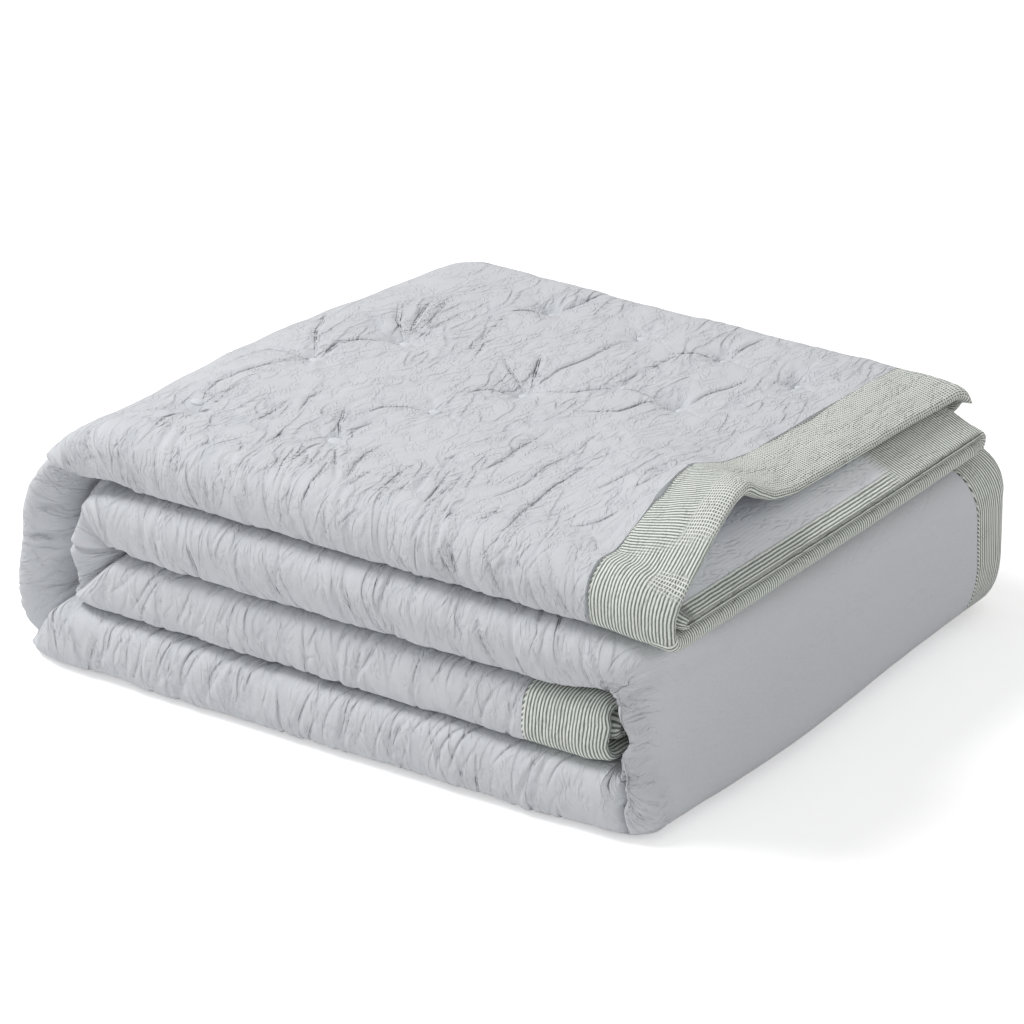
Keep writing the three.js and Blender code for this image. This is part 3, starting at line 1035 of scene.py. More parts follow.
@dataclass(frozen=True)
class Crease:
    """A soft trough, or a ridge where depth is below zero, along a line on the cloth's chart."""

    depth: float
    width: float
    line: tuple[tuple[float, float], ...]
    rim: float = 0.45
    ends: float = 0.02
    taper_power: float = 0.6

    def press(self, roll: Array, cross: Array) -> Array:
        """Returns how far the crease moves each point of the chart, outwards."""
        corners = np.array(self.line, float)
        room = 4 * self.width
        low, high = corners.min(0) - room, corners.max(0) + room
        near = (roll > low[0]) & (roll < high[0]) & (cross > low[1]) & (cross < high[1])
        moved = np.zeros_like(roll)
        away, along = to_line(np.stack([roll[near], cross[near]], -1), self.line)
        q = (away / self.width) ** 2
        moved[near] = -self.depth * self.taper(along) * (1 - self.rim * q) * np.exp(-q / 2)
        return moved

    def taper(self, along: Array) -> Array:
        """Returns the crease's strength at a share of its length."""
        return np.sin(np.pi * np.clip(along, self.ends, 1 - self.ends)) ** self.taper_power

    def trace(self, roll: Array, cross: Array, away: Array, second: Array, depth: Array) -> None:
        """Notes the crease at every point that it passes more closely than the ones before.

        Args:
            roll: Distance along the roll.
            cross: Distance from the front fold along the sheet.
            away: Signed distance to the nearest crease so far, changed here.
            second: Distance to the second nearest one, changed here.
            depth: The nearest crease's depth there, changed here.
        """
        corners = np.array(self.line, float)
        low, high = corners.min(0) - CREASE_ROOM, corners.max(0) + CREASE_ROOM
        near = (roll > low[0]) & (roll < high[0]) & (cross > low[1]) & (cross < high[1])
        found, along = to_line(np.stack([roll[near], cross[near]], -1), self.line)
        closer = np.abs(found) < np.abs(away[near])
        farther = np.where(closer, np.abs(away[near]), np.abs(found))
        second[near] = np.minimum(second[near], farther)
        away[near] = np.where(closer, found, away[near])
        depth[near] = np.where(closer, self.depth * self.taper(along), depth[near])


@dataclass(frozen=True)
class Crinkle:
    """A family of thin wavering troughs, one wherever a stretched noise changes its sign."""

    depth: float
    width: float
    gap: float
    length: float
    seed: float
    steepness: float = 1.3
    share: float = 0.4
    patch_strength: float = 1.7
    patch_scale: float = 0.45
    patch_offset: float = 3.7

    def press(self, roll: Array, cross: Array) -> Array:
        """Returns how far the troughs move each point of the chart, outwards."""
        at = np.stack([roll / self.gap, cross / self.length, self.seed + 0 * roll], -1)
        away = np.abs(noise_at(at)) * self.gap / self.steepness
        patches = noise_at(self.patch_scale * at + self.patch_offset)
        there = smooth(self.share + self.patch_strength * patches)
        return -self.depth * there * np.exp(-((away / self.width) ** 2))


# The main creases of the top. Points are roll and cross distances.
CREASES = (
    Crease(2.4, 2.6, ((388, 418), (379, 439), (374, 466))),
    Crease(1.6, 2.0, ((388, 413), (400, 406), (410, 384))),
    Crease(2.2, 2.2, ((303, 274), (304, 314), (300, 350), (300, 377), (296, 402))),
    Crease(2.2, 3.0, ((305, 276), (320, 303), (335, 331))),
    Crease(1.6, 2.0, ((306, 262), (322, 251), (331, 229))),
    Crease(2.0, 2.0, ((188, 316), (182, 338), (175, 358), (170, 380))),
    Crease(1.8, 2.0, ((194, 308), (212, 300), (218, 268), (241, 248))),
    Crease(1.6, 2.0, ((205, 309), (231, 311), (259, 309))),
    Crease(2.2, 2.2, ((214, 416), (212, 441), (208, 462))),
    Crease(1.8, 2.0, ((220, 411), (238, 405), (252, 388))),
    Crease(1.8, 1.8, ((233, 108), (233, 134), (236, 158), (238, 203))),
    Crease(1.4, 1.8, ((260, 94), (267, 120), (265, 132))),
    Crease(1.6, 2.2, ((380, 336), (383, 321), (370, 292))),
    Crease(1.6, 1.8, ((195, 166), (198, 189), (204, 209), (205, 224))),
    Crease(1.4, 1.8, ((248, 340), (249, 369), (246, 392))),
    Crease(1.8, 2.2, ((379, 293), (396, 344), (402, 369))),
    Crease(1.4, 1.8, ((242, 293), (249, 328), (250, 356))),
    Crease(1.6, 2.0, ((106, 123), (99, 135), (94, 157))),
    Crease(1.6, 2.0, ((138, 115), (130, 134), (123, 154))),
    Crease(2.0, 2.0, ((474, 88), (486, 109), (492, 130), (489, 152), (481, 176), (471, 206))),
    Crease(1.5, 1.8, ((468, 90), (474, 120), (475, 154))),
    Crease(1.8, 2.0, ((475, 75), (476, 50), (469, 25))),
    Crease(1.8, 2.0, ((510, 167), (512, 189), (500, 206), (481, 211), (470, 214))),
    Crease(2.4, 3.0, ((470, 222), (493, 254), (520, 299))),
    Crease(1.8, 2.0, ((465, 224), (466, 248), (457, 266), (441, 284))),
    Crease(2.0, 3.0, ((442, 296), (464, 316), (478, 337))),
    Crease(2.4, 2.4, ((438, 297), (453, 325), (464, 352), (468, 370))),
    Crease(1.8, 2.0, ((437, 302), (442, 328), (460, 376))),
    Crease(1.6, 2.0, ((432, 300), (433, 319), (433, 341))),
    Crease(2.0, 2.6, ((360, 105), (373, 122), (386, 146))),
    Crease(1.6, 2.0, ((356, 106), (357, 124), (354, 139))),
    Crease(1.6, 2.0, ((361, 89), (362, 68), (356, 43))),
    Crease(1.8, 1.6, ((350, 88), (324, 51), (306, 28))),
    Crease(2.2, 2.0, ((302, 24), (304, 38), (315, 63), (321, 86), (320, 108))),
    Crease(1.6, 1.8, ((335, 59), (324, 32), (322, 21), (321, 9))),
    Crease(1.5, 1.8, ((351, 71), (341, 40), (338, 20))),
    Crease(1.5, 1.8, ((388, 55), (394, 77), (390, 88))),
    Crease(1.6, 1.8, ((407, 118), (420, 148), (418, 165))),
    Crease(1.5, 1.8, ((386, 46), (383, 27), (378, 13))),
    Crease(1.5, 1.8, ((369, 63), (362, 39), (353, 23), (350, 13))),
    Crease(1.4, 1.8, ((423, 83), (423, 106), (427, 133))),
    Crease(1.6, 1.8, ((340, 188), (354, 181), (366, 167), (369, 150))),
    Crease(2.0, 2.0, ((250, 91), (236, 48), (229, 23), (232, 14))),
    Crease(1.7, 1.8, ((217, 45), (209, 22), (203, 7))),
    Crease(1.6, 1.8, ((270, 22), (274, 44), (280, 76), (280, 93))),
    Crease(1.6, 1.8, ((247, 42), (258, 68), (268, 102))),
    Crease(1.8, 2.4, ((308, 272), (336, 290), (354, 307))),
    Crease(1.8, 2.0, ((294, 272), (272, 280), (245, 310))),
    Crease(1.8, 2.0, ((204, -1), (204, 13), (206, 26), (207, 49))),
    Crease(2.2, 2.0, ((155, 10), (158, 35), (168, 73), (174, 114), (172, 166), (163, 189))),
    Crease(1.8, 1.8, ((225, 4), (222, 17), (232, 50), (236, 76))),
    Crease(1.8, 2.0, ((210, 70), (199, 77), (195, 110), (199, 144), (192, 172), (183, 183))),
    Crease(1.5, 1.8, ((251, 48), (262, 94), (264, 135))),
    Crease(1.6, 2.0, ((124, 61), (108, 74), (96, 92))),
)


@dataclass
class Relief:
    """Everything that raises or draws in the cloth's outer face."""

    seed: int = 11
    tufts: tuple[Tuft, ...] = TUFTS
    crinkles: tuple[Crinkle, ...] = (
        Crinkle(0.8, 1.7, 24, 80, 2.1),
        Crinkle(0.5, 1.4, 13, 40, 7.7),
    )
    ray_count: int = 7
    ray_turn: tuple[float, float] = (-0.3, 0.3)
    ray_start: float = 6.0
    ray_reach: tuple[float, float] = (20, 44)
    ray_bow: tuple[float, float] = (-4, 4)
    ray_depth: tuple[float, float] = (0.8, 1.5)
    ray_width: tuple[float, float] = (1.8, 2.6)
    pleat_step: tuple[float, float] = (0.5, 1.6)
    pleat_lean: tuple[float, float] = (0.0, 0.6)
    pleat_bow: tuple[float, float] = (-7, 7)
    pleat_half: tuple[float, float] = (0.12, 0.42)
    pleat_depth: tuple[float, float] = (0.5, 1.5)
    pleat_width: tuple[float, float] = (1.4, 2.6)
    smooth_wall: float = 0.85
    wall_start: float = 10.0
    wall_fade: float = 30.0
    wall_front: float = 22.0
    wall_front_fade: float = 20.0
    merge_gap: float = 1.6
    merge_fade: float = 2.0
    waves: tuple[float, float, float] = (120, 130, 5.3)
    large_puffs: tuple[float, float, float] = (38, 46, 1.3)
    small_puffs: tuple[float, float, float] = (15, 27, 6.1)
    wave_reach: float = 30.0
    draw: float = 0.9
    draw_reach: float = 34.0
    pit_reach: float = 24.0
    pit_wide: float = 0.5
    pit_tilt: float = 0.5
    pit_core: float = 1.25
    pit_core_reach: float = 7.5
    puff_height: float = 1.8
    small_share: float = 0.4
    long_seam: tuple[float, float] = (1.0, 1.8)
    end_seam: tuple[float, float] = (0.25, 1.5)
    creases: list[Crease] = field(default_factory=list)

    def __post_init__(self) -> None:
        """Gathers the creases: those listed, the tufts' rays and the front pleats."""
        self.drawn = [*CREASES, *self.pleats()]
        self.creases = [*self.drawn, *self.rays()]

    def rays(self) -> list[Crease]:
        """Returns the short creases that run out from each tuft."""
        rng = random.Random(self.seed)
        found = []
        for tuft in self.tufts:
            for i in range(self.ray_count):
                angle = 2 * math.pi * (i + rng.uniform(*self.ray_turn)) / self.ray_count
                reach, bow = rng.uniform(*self.ray_reach), rng.uniform(*self.ray_bow)
                line = tuple(
                    (
                        tuft.chart[0] + away * math.cos(angle) - bent * math.sin(angle),
                        tuft.chart[1] + away * math.sin(angle) + bent * math.cos(angle),
                    )
                    for away, bent in ((self.ray_start, 0), (reach / 2, bow), (reach, 0))
                )
                found.append(Crease(rng.uniform(*self.ray_depth), rng.uniform(*self.ray_width), line))
        return found

    def pleats(self) -> list[Crease]:
        """Returns the dense small creases over every front fold."""
        rng = random.Random(self.seed + 1)
        found = []
        rows = (
            (Stretch.TOP, 74, 472, 62, -30, 6.0, 1),
            (Stretch.SOFT_TURN, 0, 120, 50, -24, 8.0, 1),
            (Stretch.BOTTOM, 0, 450, 34, -44, 6.0, -1),
            (Stretch.SECOND, 0, 440, 44, -34, 6.0, 1),
            (Stretch.THIRD, 0, 360, 34, -44, 6.5, -1),
            (Stretch.RIGHT_TURN, 0, 60, 34, -24, 9.0, 0),
            (Stretch.RIGHT_WALL, 0, 60, 34, -24, 9.0, 0),
        )
        for stretch, start, end, high, low, gap, way in rows:
            base = ROLL.start_of(stretch)
            at = start
            while at < end:
                at += gap * rng.uniform(*self.pleat_step)
                lean = way * rng.uniform(*self.pleat_lean)
                bow = rng.uniform(*self.pleat_bow)
                middle = rng.uniform(low, high)
                half = (high - low) * rng.uniform(*self.pleat_half)
                top, bottom = min(high, middle + half), max(low, middle - half)
                reach = top - bottom
                line = tuple(
                    (base + at + lean * reach * (t - 0.5) + bow * math.sin(math.pi * t), bottom + reach * t)
                    for t in (0, 0.25, 0.5, 0.75, 1)
                )
                found.append(Crease(rng.uniform(*self.pleat_depth), rng.uniform(*self.pleat_width), line))
        return found

    def strength(self, roll: Array, cross: Array) -> Array:
        """Returns how crinkled the cloth is, from 0 on the smooth right side to about 1."""
        wall = ROLL.start_of(Stretch.RIGHT_TURN)
        past = ROLL.start_of(Stretch.SECOND)
        fade = self.wall_fade
        on_wall = smooth((roll - wall - self.wall_start) / fade) * smooth((past + fade - roll) / fade)
        behind = smooth((cross - self.wall_front) / self.wall_front_fade)
        return 1 - self.smooth_wall * on_wall * behind

    def flow(self, roll: Array, cross: Array) -> Array:
        """Returns the roll distance, bent by the cloth's slow waves and drawn in at the tufts."""
        bent = roll + self.wave_reach * noise_over(roll, cross, self.waves)
        reach = self.draw_reach
        for tuft in self.tufts:
            at = tuft.chart
            near = np.exp(-(((roll - at[0]) / reach) ** 2) - ((cross - at[1]) / reach) ** 2)
            bent = bent + self.draw * (roll - at[0]) * near
        return bent

    def nearest(self, roll: Array, cross: Array) -> tuple[Array, Array]:
        """Returns the signed distance to the nearest crease, and how deep that crease is there. A
        crease fades out where another one comes as near."""
        away, second = np.full_like(roll, CREASE_ROOM), np.full_like(roll, CREASE_ROOM)
        depth = np.zeros_like(roll)
        for crease in self.drawn:
            crease.trace(roll, cross, away, second, depth)
        return away, depth * smooth((second - np.abs(away) - self.merge_gap) / self.merge_fade)

    def outward(self, roll: Array, cross: Array, seam: Array, to_end: Array) -> Array:
        """Works out how far each point of the outer face stands proud.

        Args:
            roll: Distance along the roll.
            cross: Distance from the front fold along the sheet.
            seam: Distance from the nearest long seam.
            to_end: Distance from the nearest end seam.

        Returns:
            Millimetres outwards, negative where the cloth is drawn in.
        """
        moved = np.zeros_like(roll)
        for tuft in self.tufts:
            at = tuft.chart
            away = np.hypot(roll - at[0], cross - at[1]) + 0.5
            wide = np.exp(-((away / self.pit_reach) ** 2))
            steep = 1 + self.pit_tilt * (roll - at[0]) / away * wide
            core = self.pit_core * np.exp(-away / self.pit_core_reach)
            moved -= tuft.depth * steep * (self.pit_wide * wide + core)
        for crease in self.creases:
            moved += crease.press(roll, cross)
        bent = self.flow(roll, cross)
        puffs = noise_over(roll, cross, self.large_puffs)
        puffs = puffs + self.small_share * noise_over(bent, cross, self.small_puffs)
        crinkled = sum(crinkle.press(bent, cross) for crinkle in self.crinkles)
        moved += self.strength(roll, cross) * (crinkled + self.puff_height * puffs)
        for distance, (depth, width) in ((seam, self.long_seam), (to_end, self.end_seam)):
            moved -= depth * np.exp(-((distance / width) ** 2))
        return moved


RELIEF = Relief()


# Meshes


SEAM_SCALE = 20.0
HEM_ROUND = 4.0
CHART_END = 9.0
SHARP = math.radians(62)


@dataclass
class Face:
    """One face of a piece of cloth, ready to become a grid of vertices."""

    points: Array
    roll: Array
    cross: Array
    across: Array
    weave: Array


class Side(Enum):
    """The two sides of a sheet of the duvet."""

    OUTER = 1
    LINING = -1


@dataclass(frozen=True)
class ClothPiece:
    """A piece of the duvet's cloth, cut out of the roll."""

    name: str
    stations: Stations
    section: Section
    cut: Cut
    lining_skip: int = 1

    def face(self, side: Side) -> Face:
        """Works out one side of the piece.

        Args:
            side: The outer side or the lining side.

        Returns:
            The side's points, in metres, and its charts.
        """
        st, section = self.stations, self.section
        if side is Side.LINING and self.lining_skip > 1:
            st, section = st.thinned(self.lining_skip), Section(Sampling(face=30, nose=12))
        knots = section.cut(st, self.cut)
        thick = side.value * SIZES.cloth / 2 * hem_share(st, knots.n) * knots.reach * st.column("cap")
        y, n = knots.y + knots.my * thick, knots.n + knots.mn * thick
        points = place(st, y, n, knots.outer)
        roll = st.column("roll") + 0 * knots.y
        if side is Side.OUTER:
            points = points + self.relief(st, knots, points, roll)
        to_end = np.minimum(st.column("to_lip"), st.column("to_end")) + 0 * knots.y
        rounded = HEM_ROUND * (1 - np.arcsin(np.clip(1 - to_end / HEM_ROUND, 0, 1)))
        surface = np.where(to_end < HEM_ROUND, rounded, to_end)
        across = surface if self.cut is Cut.WHOLE else np.minimum(knots.across, FAR)
        weave = self.weave(st, knots, side)
        return Face(settle(points, roll) * MM, roll, knots.cross, across, weave)

    def relief(self, st: Stations, knots: Knots, points: Array, roll: Array) -> Array:
        """Returns how the outer sheet's relief moves each point of the outer side."""
        along_roll = np.gradient(points, axis=0)
        along_knots = np.gradient(points, axis=1)
        normal = np.cross(along_roll, along_knots)
        length = np.linalg.norm(normal, axis=-1, keepdims=True)
        normal = np.divide(normal, length, out=np.zeros_like(normal), where=length > 1e-9)
        outwards = np.stack([st.column("out_x") * knots.mn, knots.my, st.column("out_z") * knots.mn], -1)
        normal *= np.sign((normal * outwards).sum(-1, keepdims=True))
        seam_at = np.minimum(
            np.abs(st.column("to_lip") - SIZES.end_border), np.abs(st.column("to_end") - SIZES.end_border)
        )
        moved = RELIEF.outward(roll, knots.cross, knots.seam, seam_at + 0 * roll)
        shown = knots.outer * st.column("cap") * (knots.reach > 0) * smooth(knots.reach * 1.5)
        near_end = smooth(np.minimum(st.column("to_lip"), st.column("to_end")) / 6)
        return normal * (moved * shown * near_end)[..., None]

    def weave(self, st: Stations, knots: Knots, side: Side) -> Array:
        """Returns how crinkled the quilt is, the distance to its nearest crease, how deep that
        crease is, and how near the seam is. A long border only has the last."""
        zero = 0 * knots.y
        seam = np.clip(knots.seam / SEAM_SCALE, 0, 1)
        if self.cut is not Cut.QUILT:
            return np.stack([zero, zero, zero, seam], -1)
        roll = st.column("roll") + zero
        crinkled = RELIEF.strength(roll, knots.cross)
        # The nearest crease's distance and depth shape its bump and the painted shade along it in the
        # cotton's colour.
        away, depth = RELIEF.nearest(roll, knots.cross) if side is Side.OUTER else (zero, zero)
        return np.stack([crinkled, away, depth * (knots.outer > 0), seam], -1)

    def build(self) -> bpy.types.Object:
        """Makes the piece's mesh object from both of its sides."""
        mesh = bmesh.new()
        for side in Side:
            add_grid(mesh, self.face(side))
        return finish_mesh(mesh, self.name)


def add_grid(mesh: bmesh.types.BMesh, face: Face) -> None:
    """Adds a grid to the mesh and moves its vertices to the face's points.

    Args:
        mesh: The mesh to add to.
        face: The face, as an array of stations by knots.
    """
    rows, columns = face.points.shape[:2]
    for name in ("chart", "stripes"):
        mesh.loops.layers.uv.get(name) or mesh.loops.layers.uv.new(name)
    mesh.verts.layers.float_color.get("weave") or mesh.verts.layers.float_color.new("weave")
    made = bmesh.ops.create_grid(mesh, x_segments=rows - 1, y_segments=columns - 1, size=0.5)
    chart, stripes = mesh.loops.layers.uv["chart"], mesh.loops.layers.uv["stripes"]
    weave = mesh.verts.layers.float_color["weave"]
    found = set()
    for vert in made["verts"]:
        i = round((vert.co.x + 0.5) * (rows - 1))
        j = round((vert.co.y + 0.5) * (columns - 1))
        vert.co = face.points[i, j]
        vert[weave] = face.weave[i, j]
        for loop in vert.link_loops:
            cross = max(-CHART_END, face.cross[i, j] * MM)
            loop[chart].uv = (face.roll[i, j] * MM, cross)
            loop[stripes].uv = (min(CHART_END, face.across[i, j] * MM), cross)
        found.update(vert.link_faces)
    for one in found:
        one.smooth = True


def finish_mesh(mesh: bmesh.types.BMesh, name: str) -> bpy.types.Object:
    """Welds the grids, turns their normals out and makes an object of them.

    Args:
        mesh: The mesh, which is freed.
        name: The object's name.

    Returns:
        The object, linked to the scene.
    """
    bmesh.ops.remove_doubles(mesh, verts=mesh.verts, dist=1e-6)
    bmesh.ops.dissolve_degenerate(mesh, edges=mesh.edges, dist=1e-6)
    bmesh.ops.recalc_face_normals(mesh, faces=mesh.faces)
    for edge in mesh.edges:
        edge.smooth = edge.calc_face_angle(math.pi) < SHARP
    data = bpy.data.meshes.new(name)
    mesh.to_mesh(data)
    mesh.free()
    made = bpy.data.objects.new(name, data)
    bpy.context.scene.collection.objects.link(made)
    LOG.info("%s: %d vertices, %d faces", name, len(data.vertices), len(data.polygons))
    return made


# Finishes


Tree = bpy.types.NodeTree
Socket = bpy.types.NodeSocket


def linear(colour: str) -> tuple[float, float, float, float]:
    """Returns an sRGB hex colour as linear red, green, blue and alpha."""
    parts = [int(colour[i : i + 2], 16) / 255 for i in (1, 3, 5)]
    turned = [p / 12.92 if p <= 0.04045 else ((p + 0.055) / 1.055) ** 2.4 for p in parts]
    return (*turned, 1.0)


def add_node(
    tree: Tree, kind: str, *values: object, out: int | str = 0, **named: object
) -> Socket | None:
    """Adds a node with its settings and links.

    Args:
        tree: The material's tree.
        kind: Blender's node type, without ShaderNode.
        values: Values or sockets for its first inputs, in order.
        out: The wanted output, by number or name.
        named: Its own properties, and other inputs by name, or by in_ and their number.

    Returns:
        The wanted output, or None for a node that has no outputs.
    """
    node = tree.nodes.new(f"ShaderNode{kind}")
    inputs = {f"in_{i}": value for i, value in enumerate(values)}
    for key, value in named.items():
        if hasattr(node, key):
            setattr(node, key, value)
        else:
            inputs[key] = value
    for key, value in inputs.items():
        socket = node.inputs[int(key[3:]) if key.startswith("in_") else key.replace("_", " ")]
        if isinstance(value, Socket):
            tree.links.new(value, socket)
        else:
            socket.default_value = value
    return node.outputs[out] if len(node.outputs) else None


def empty_material(name: str) -> tuple[bpy.types.Material, Tree]:
    """Returns a new material and its tree, without nodes."""
    made = bpy.data.materials.new(name)
    made.use_nodes = True
    made.node_tree.nodes.clear()
    return made, made.node_tree


def blend(tree: Tree, *parts: tuple[float, Socket]) -> Socket:
    """Adds patterns up, each times its share.

    Args:
        tree: The material's tree.
        parts: The shares and their patterns.

    Returns:
        The sum.
    """
    total = None
    for share, pattern in parts:
        one = add_node(tree, "Math", pattern, share, operation="MULTIPLY")
        total = one if total is None else add_node(tree, "Math", total, one, operation="ADD")
    return total


def per_metre(*sizes: float) -> tuple[float, float, int]:
    """Returns the scale of a pattern on the chart, from its two sizes in millimetres."""
    return (1000 / sizes[0], 1000 / sizes[-1], 1)


@dataclass(frozen=True)
class FineCreases:
    """Fine creases, wherever a stretched noise crosses its middle, for the bump and, on the cotton, for
    painted shade in the colour.

    The sizes are the millimetres between the creases and along them, half of a crease's width,
    and the degrees that they lean. A slower noise leaves places without creases.
    """

    gap: float
    length: float
    width: float
    turn: float
    patch_scale: float = 0.37
    patch_range: tuple[float, float] = (0.38, 0.6)

    def draw(self, tree: Tree, chart: Socket) -> Socket:
        """Draws the creases.

        Args:
            tree: The material's tree.
            chart: The cloth's chart, in metres.

        Returns:
            0 at the bottom of a crease and 1 on the cloth between.
        """
        turned = add_node(tree, "Mapping", chart, Rotation=(0, 0, math.radians(self.turn)))
        at = add_node(tree, "Mapping", turned, Scale=per_metre(self.gap, self.length))
        wavy = add_node(tree, "TexNoise", at, Scale=1.0, Detail=0.6, Roughness=0.5, Distortion=0.2)
        slow = add_node(tree, "TexNoise", at, Scale=self.patch_scale, Detail=0.0)
        off = add_node(tree, "Math", wavy, 0.5, operation="SUBTRACT")
        away = add_node(tree, "Math", off, operation="ABSOLUTE")
        line = add_node(
            tree, "MapRange", away, interpolation_type="SMOOTHSTEP",
            From_Min=0.0, From_Max=self.width / self.gap, To_Min=1.0, To_Max=0.0,
        )
        low, high = self.patch_range
        there = add_node(
            tree, "MapRange", slow, interpolation_type="SMOOTHSTEP", From_Min=low, From_Max=high
        )
        drawn = add_node(tree, "Math", line, there, operation="MULTIPLY")
        return add_node(tree, "Math", 1.0, drawn, operation="SUBTRACT")


@dataclass(frozen=True)
class CottonFinish:
    """Washed cotton: matt, faintly bluish grey, crinkled by its quilting, and darker along its creases as
    painted shade.

    The drawn creases are a trough with a raised shoulder on both sides, in millimetres. The real
    threads are too fine to show, so the weave is drawn as slubs 1.4 mm apart.
    """

    name: str = "washed cotton"
    light: str = "#dcdee2"
    # The slubs' dark places and the painted shade in the creases take this colour.
    dark: str = "#c9ccd1"
    slub_step: float = 1.4
    trough_width: float = 0.9
    shoulder_place: float = 1.9
    shoulder_width: float = 1.1
    shoulder_height: float = 0.5
    # How much painted shade darkens the colour along the drawn creases.
    line_tone: float = 0.05
    crinkles: tuple[tuple[float, FineCreases], ...] = (
        (0.5, FineCreases(14, 44, 1.3, 14)),
        (0.3, FineCreases(8, 22, 0.9, -16)),
        (0.2, FineCreases(4, 9, 0.55, 24)),
    )

    def bell(self, tree: Tree, away: Socket, middle: float, width: float) -> Socket:
        """Returns a bell curve over a distance."""
        off = add_node(tree, "Math", away, middle, operation="SUBTRACT")
        ratio = add_node(tree, "Math", off, width, operation="DIVIDE")
        squared = add_node(tree, "Math", ratio, ratio, operation="MULTIPLY")
        fall = add_node(tree, "Math", squared, -1.0, operation="MULTIPLY")
        return add_node(tree, "Math", fall, operation="EXPONENT")

    def make(self) -> bpy.types.Material:
        """Returns the material. Its bump lines read as crinkles, with painted shade darkening its colour
        along them, and its small noise as a plain weave.
        """
        made, tree = empty_material(self.name)
        chart = add_node(tree, "UVMap", uv_map="chart")
        drawn = add_node(tree, "Attribute", out="Vector", attribute_name="weave")
        share, away, depth = add_node(tree, "SeparateXYZ", drawn).node.outputs
        trough = self.bell(tree, away, 0.0, self.trough_width)
        shoulder = self.bell(tree, away, self.shoulder_place, self.shoulder_width)
        profile = blend(tree, (self.shoulder_height, shoulder), (-1.0, trough))
        drawn_height = add_node(tree, "Math", profile, depth, operation="MULTIPLY")
        painted_crease_shade = add_node(tree, "Math", trough, depth, operation="MULTIPLY")
        every = blend(tree, *((part, crinkle.draw(tree, chart)) for part, crinkle in self.crinkles))
        missing = add_node(tree, "Math", 1.0, every, operation="SUBTRACT")
        fewer = add_node(tree, "Math", missing, share, operation="MULTIPLY")
        all_lines = add_node(tree, "Math", 1.0, fewer, operation="SUBTRACT")
        fine = add_node(tree, "Mapping", chart, Scale=per_metre(self.slub_step))
        slub = add_node(tree, "TexNoise", fine, Scale=1.0, Detail=2.0, Roughness=0.6)
        # Darker at the bottom of each crease line, drawn or from noise, as painted shade, and varied at
        # random by the slubs.
        mixed = blend(tree, (0.6, all_lines), (0.4, slub), (-self.line_tone, painted_crease_shade))
        tone = add_node(
            tree, "Mix", mixed, out=2, data_type="RGBA", in_6=linear(self.dark), in_7=linear(self.light)
        )
        sharp = add_node(tree, "Bump", Strength=1.0, Distance=0.00065, Height=drawn_height)
        bump = add_node(tree, "Bump", Strength=1.0, Distance=0.0021, Height=all_lines, Normal=sharp)
        weave = add_node(tree, "Bump", Strength=0.6, Distance=0.0007, Height=slub, Normal=bump)
        shader = add_node(
            tree, "BsdfPrincipled", Base_Color=tone, Roughness=0.92, Specular_IOR_Level=0.2,
            Sheen_Weight=0.12, Sheen_Roughness=0.6, Normal=weave,
        )
        add_node(tree, "OutputMaterial", shader)
        return made


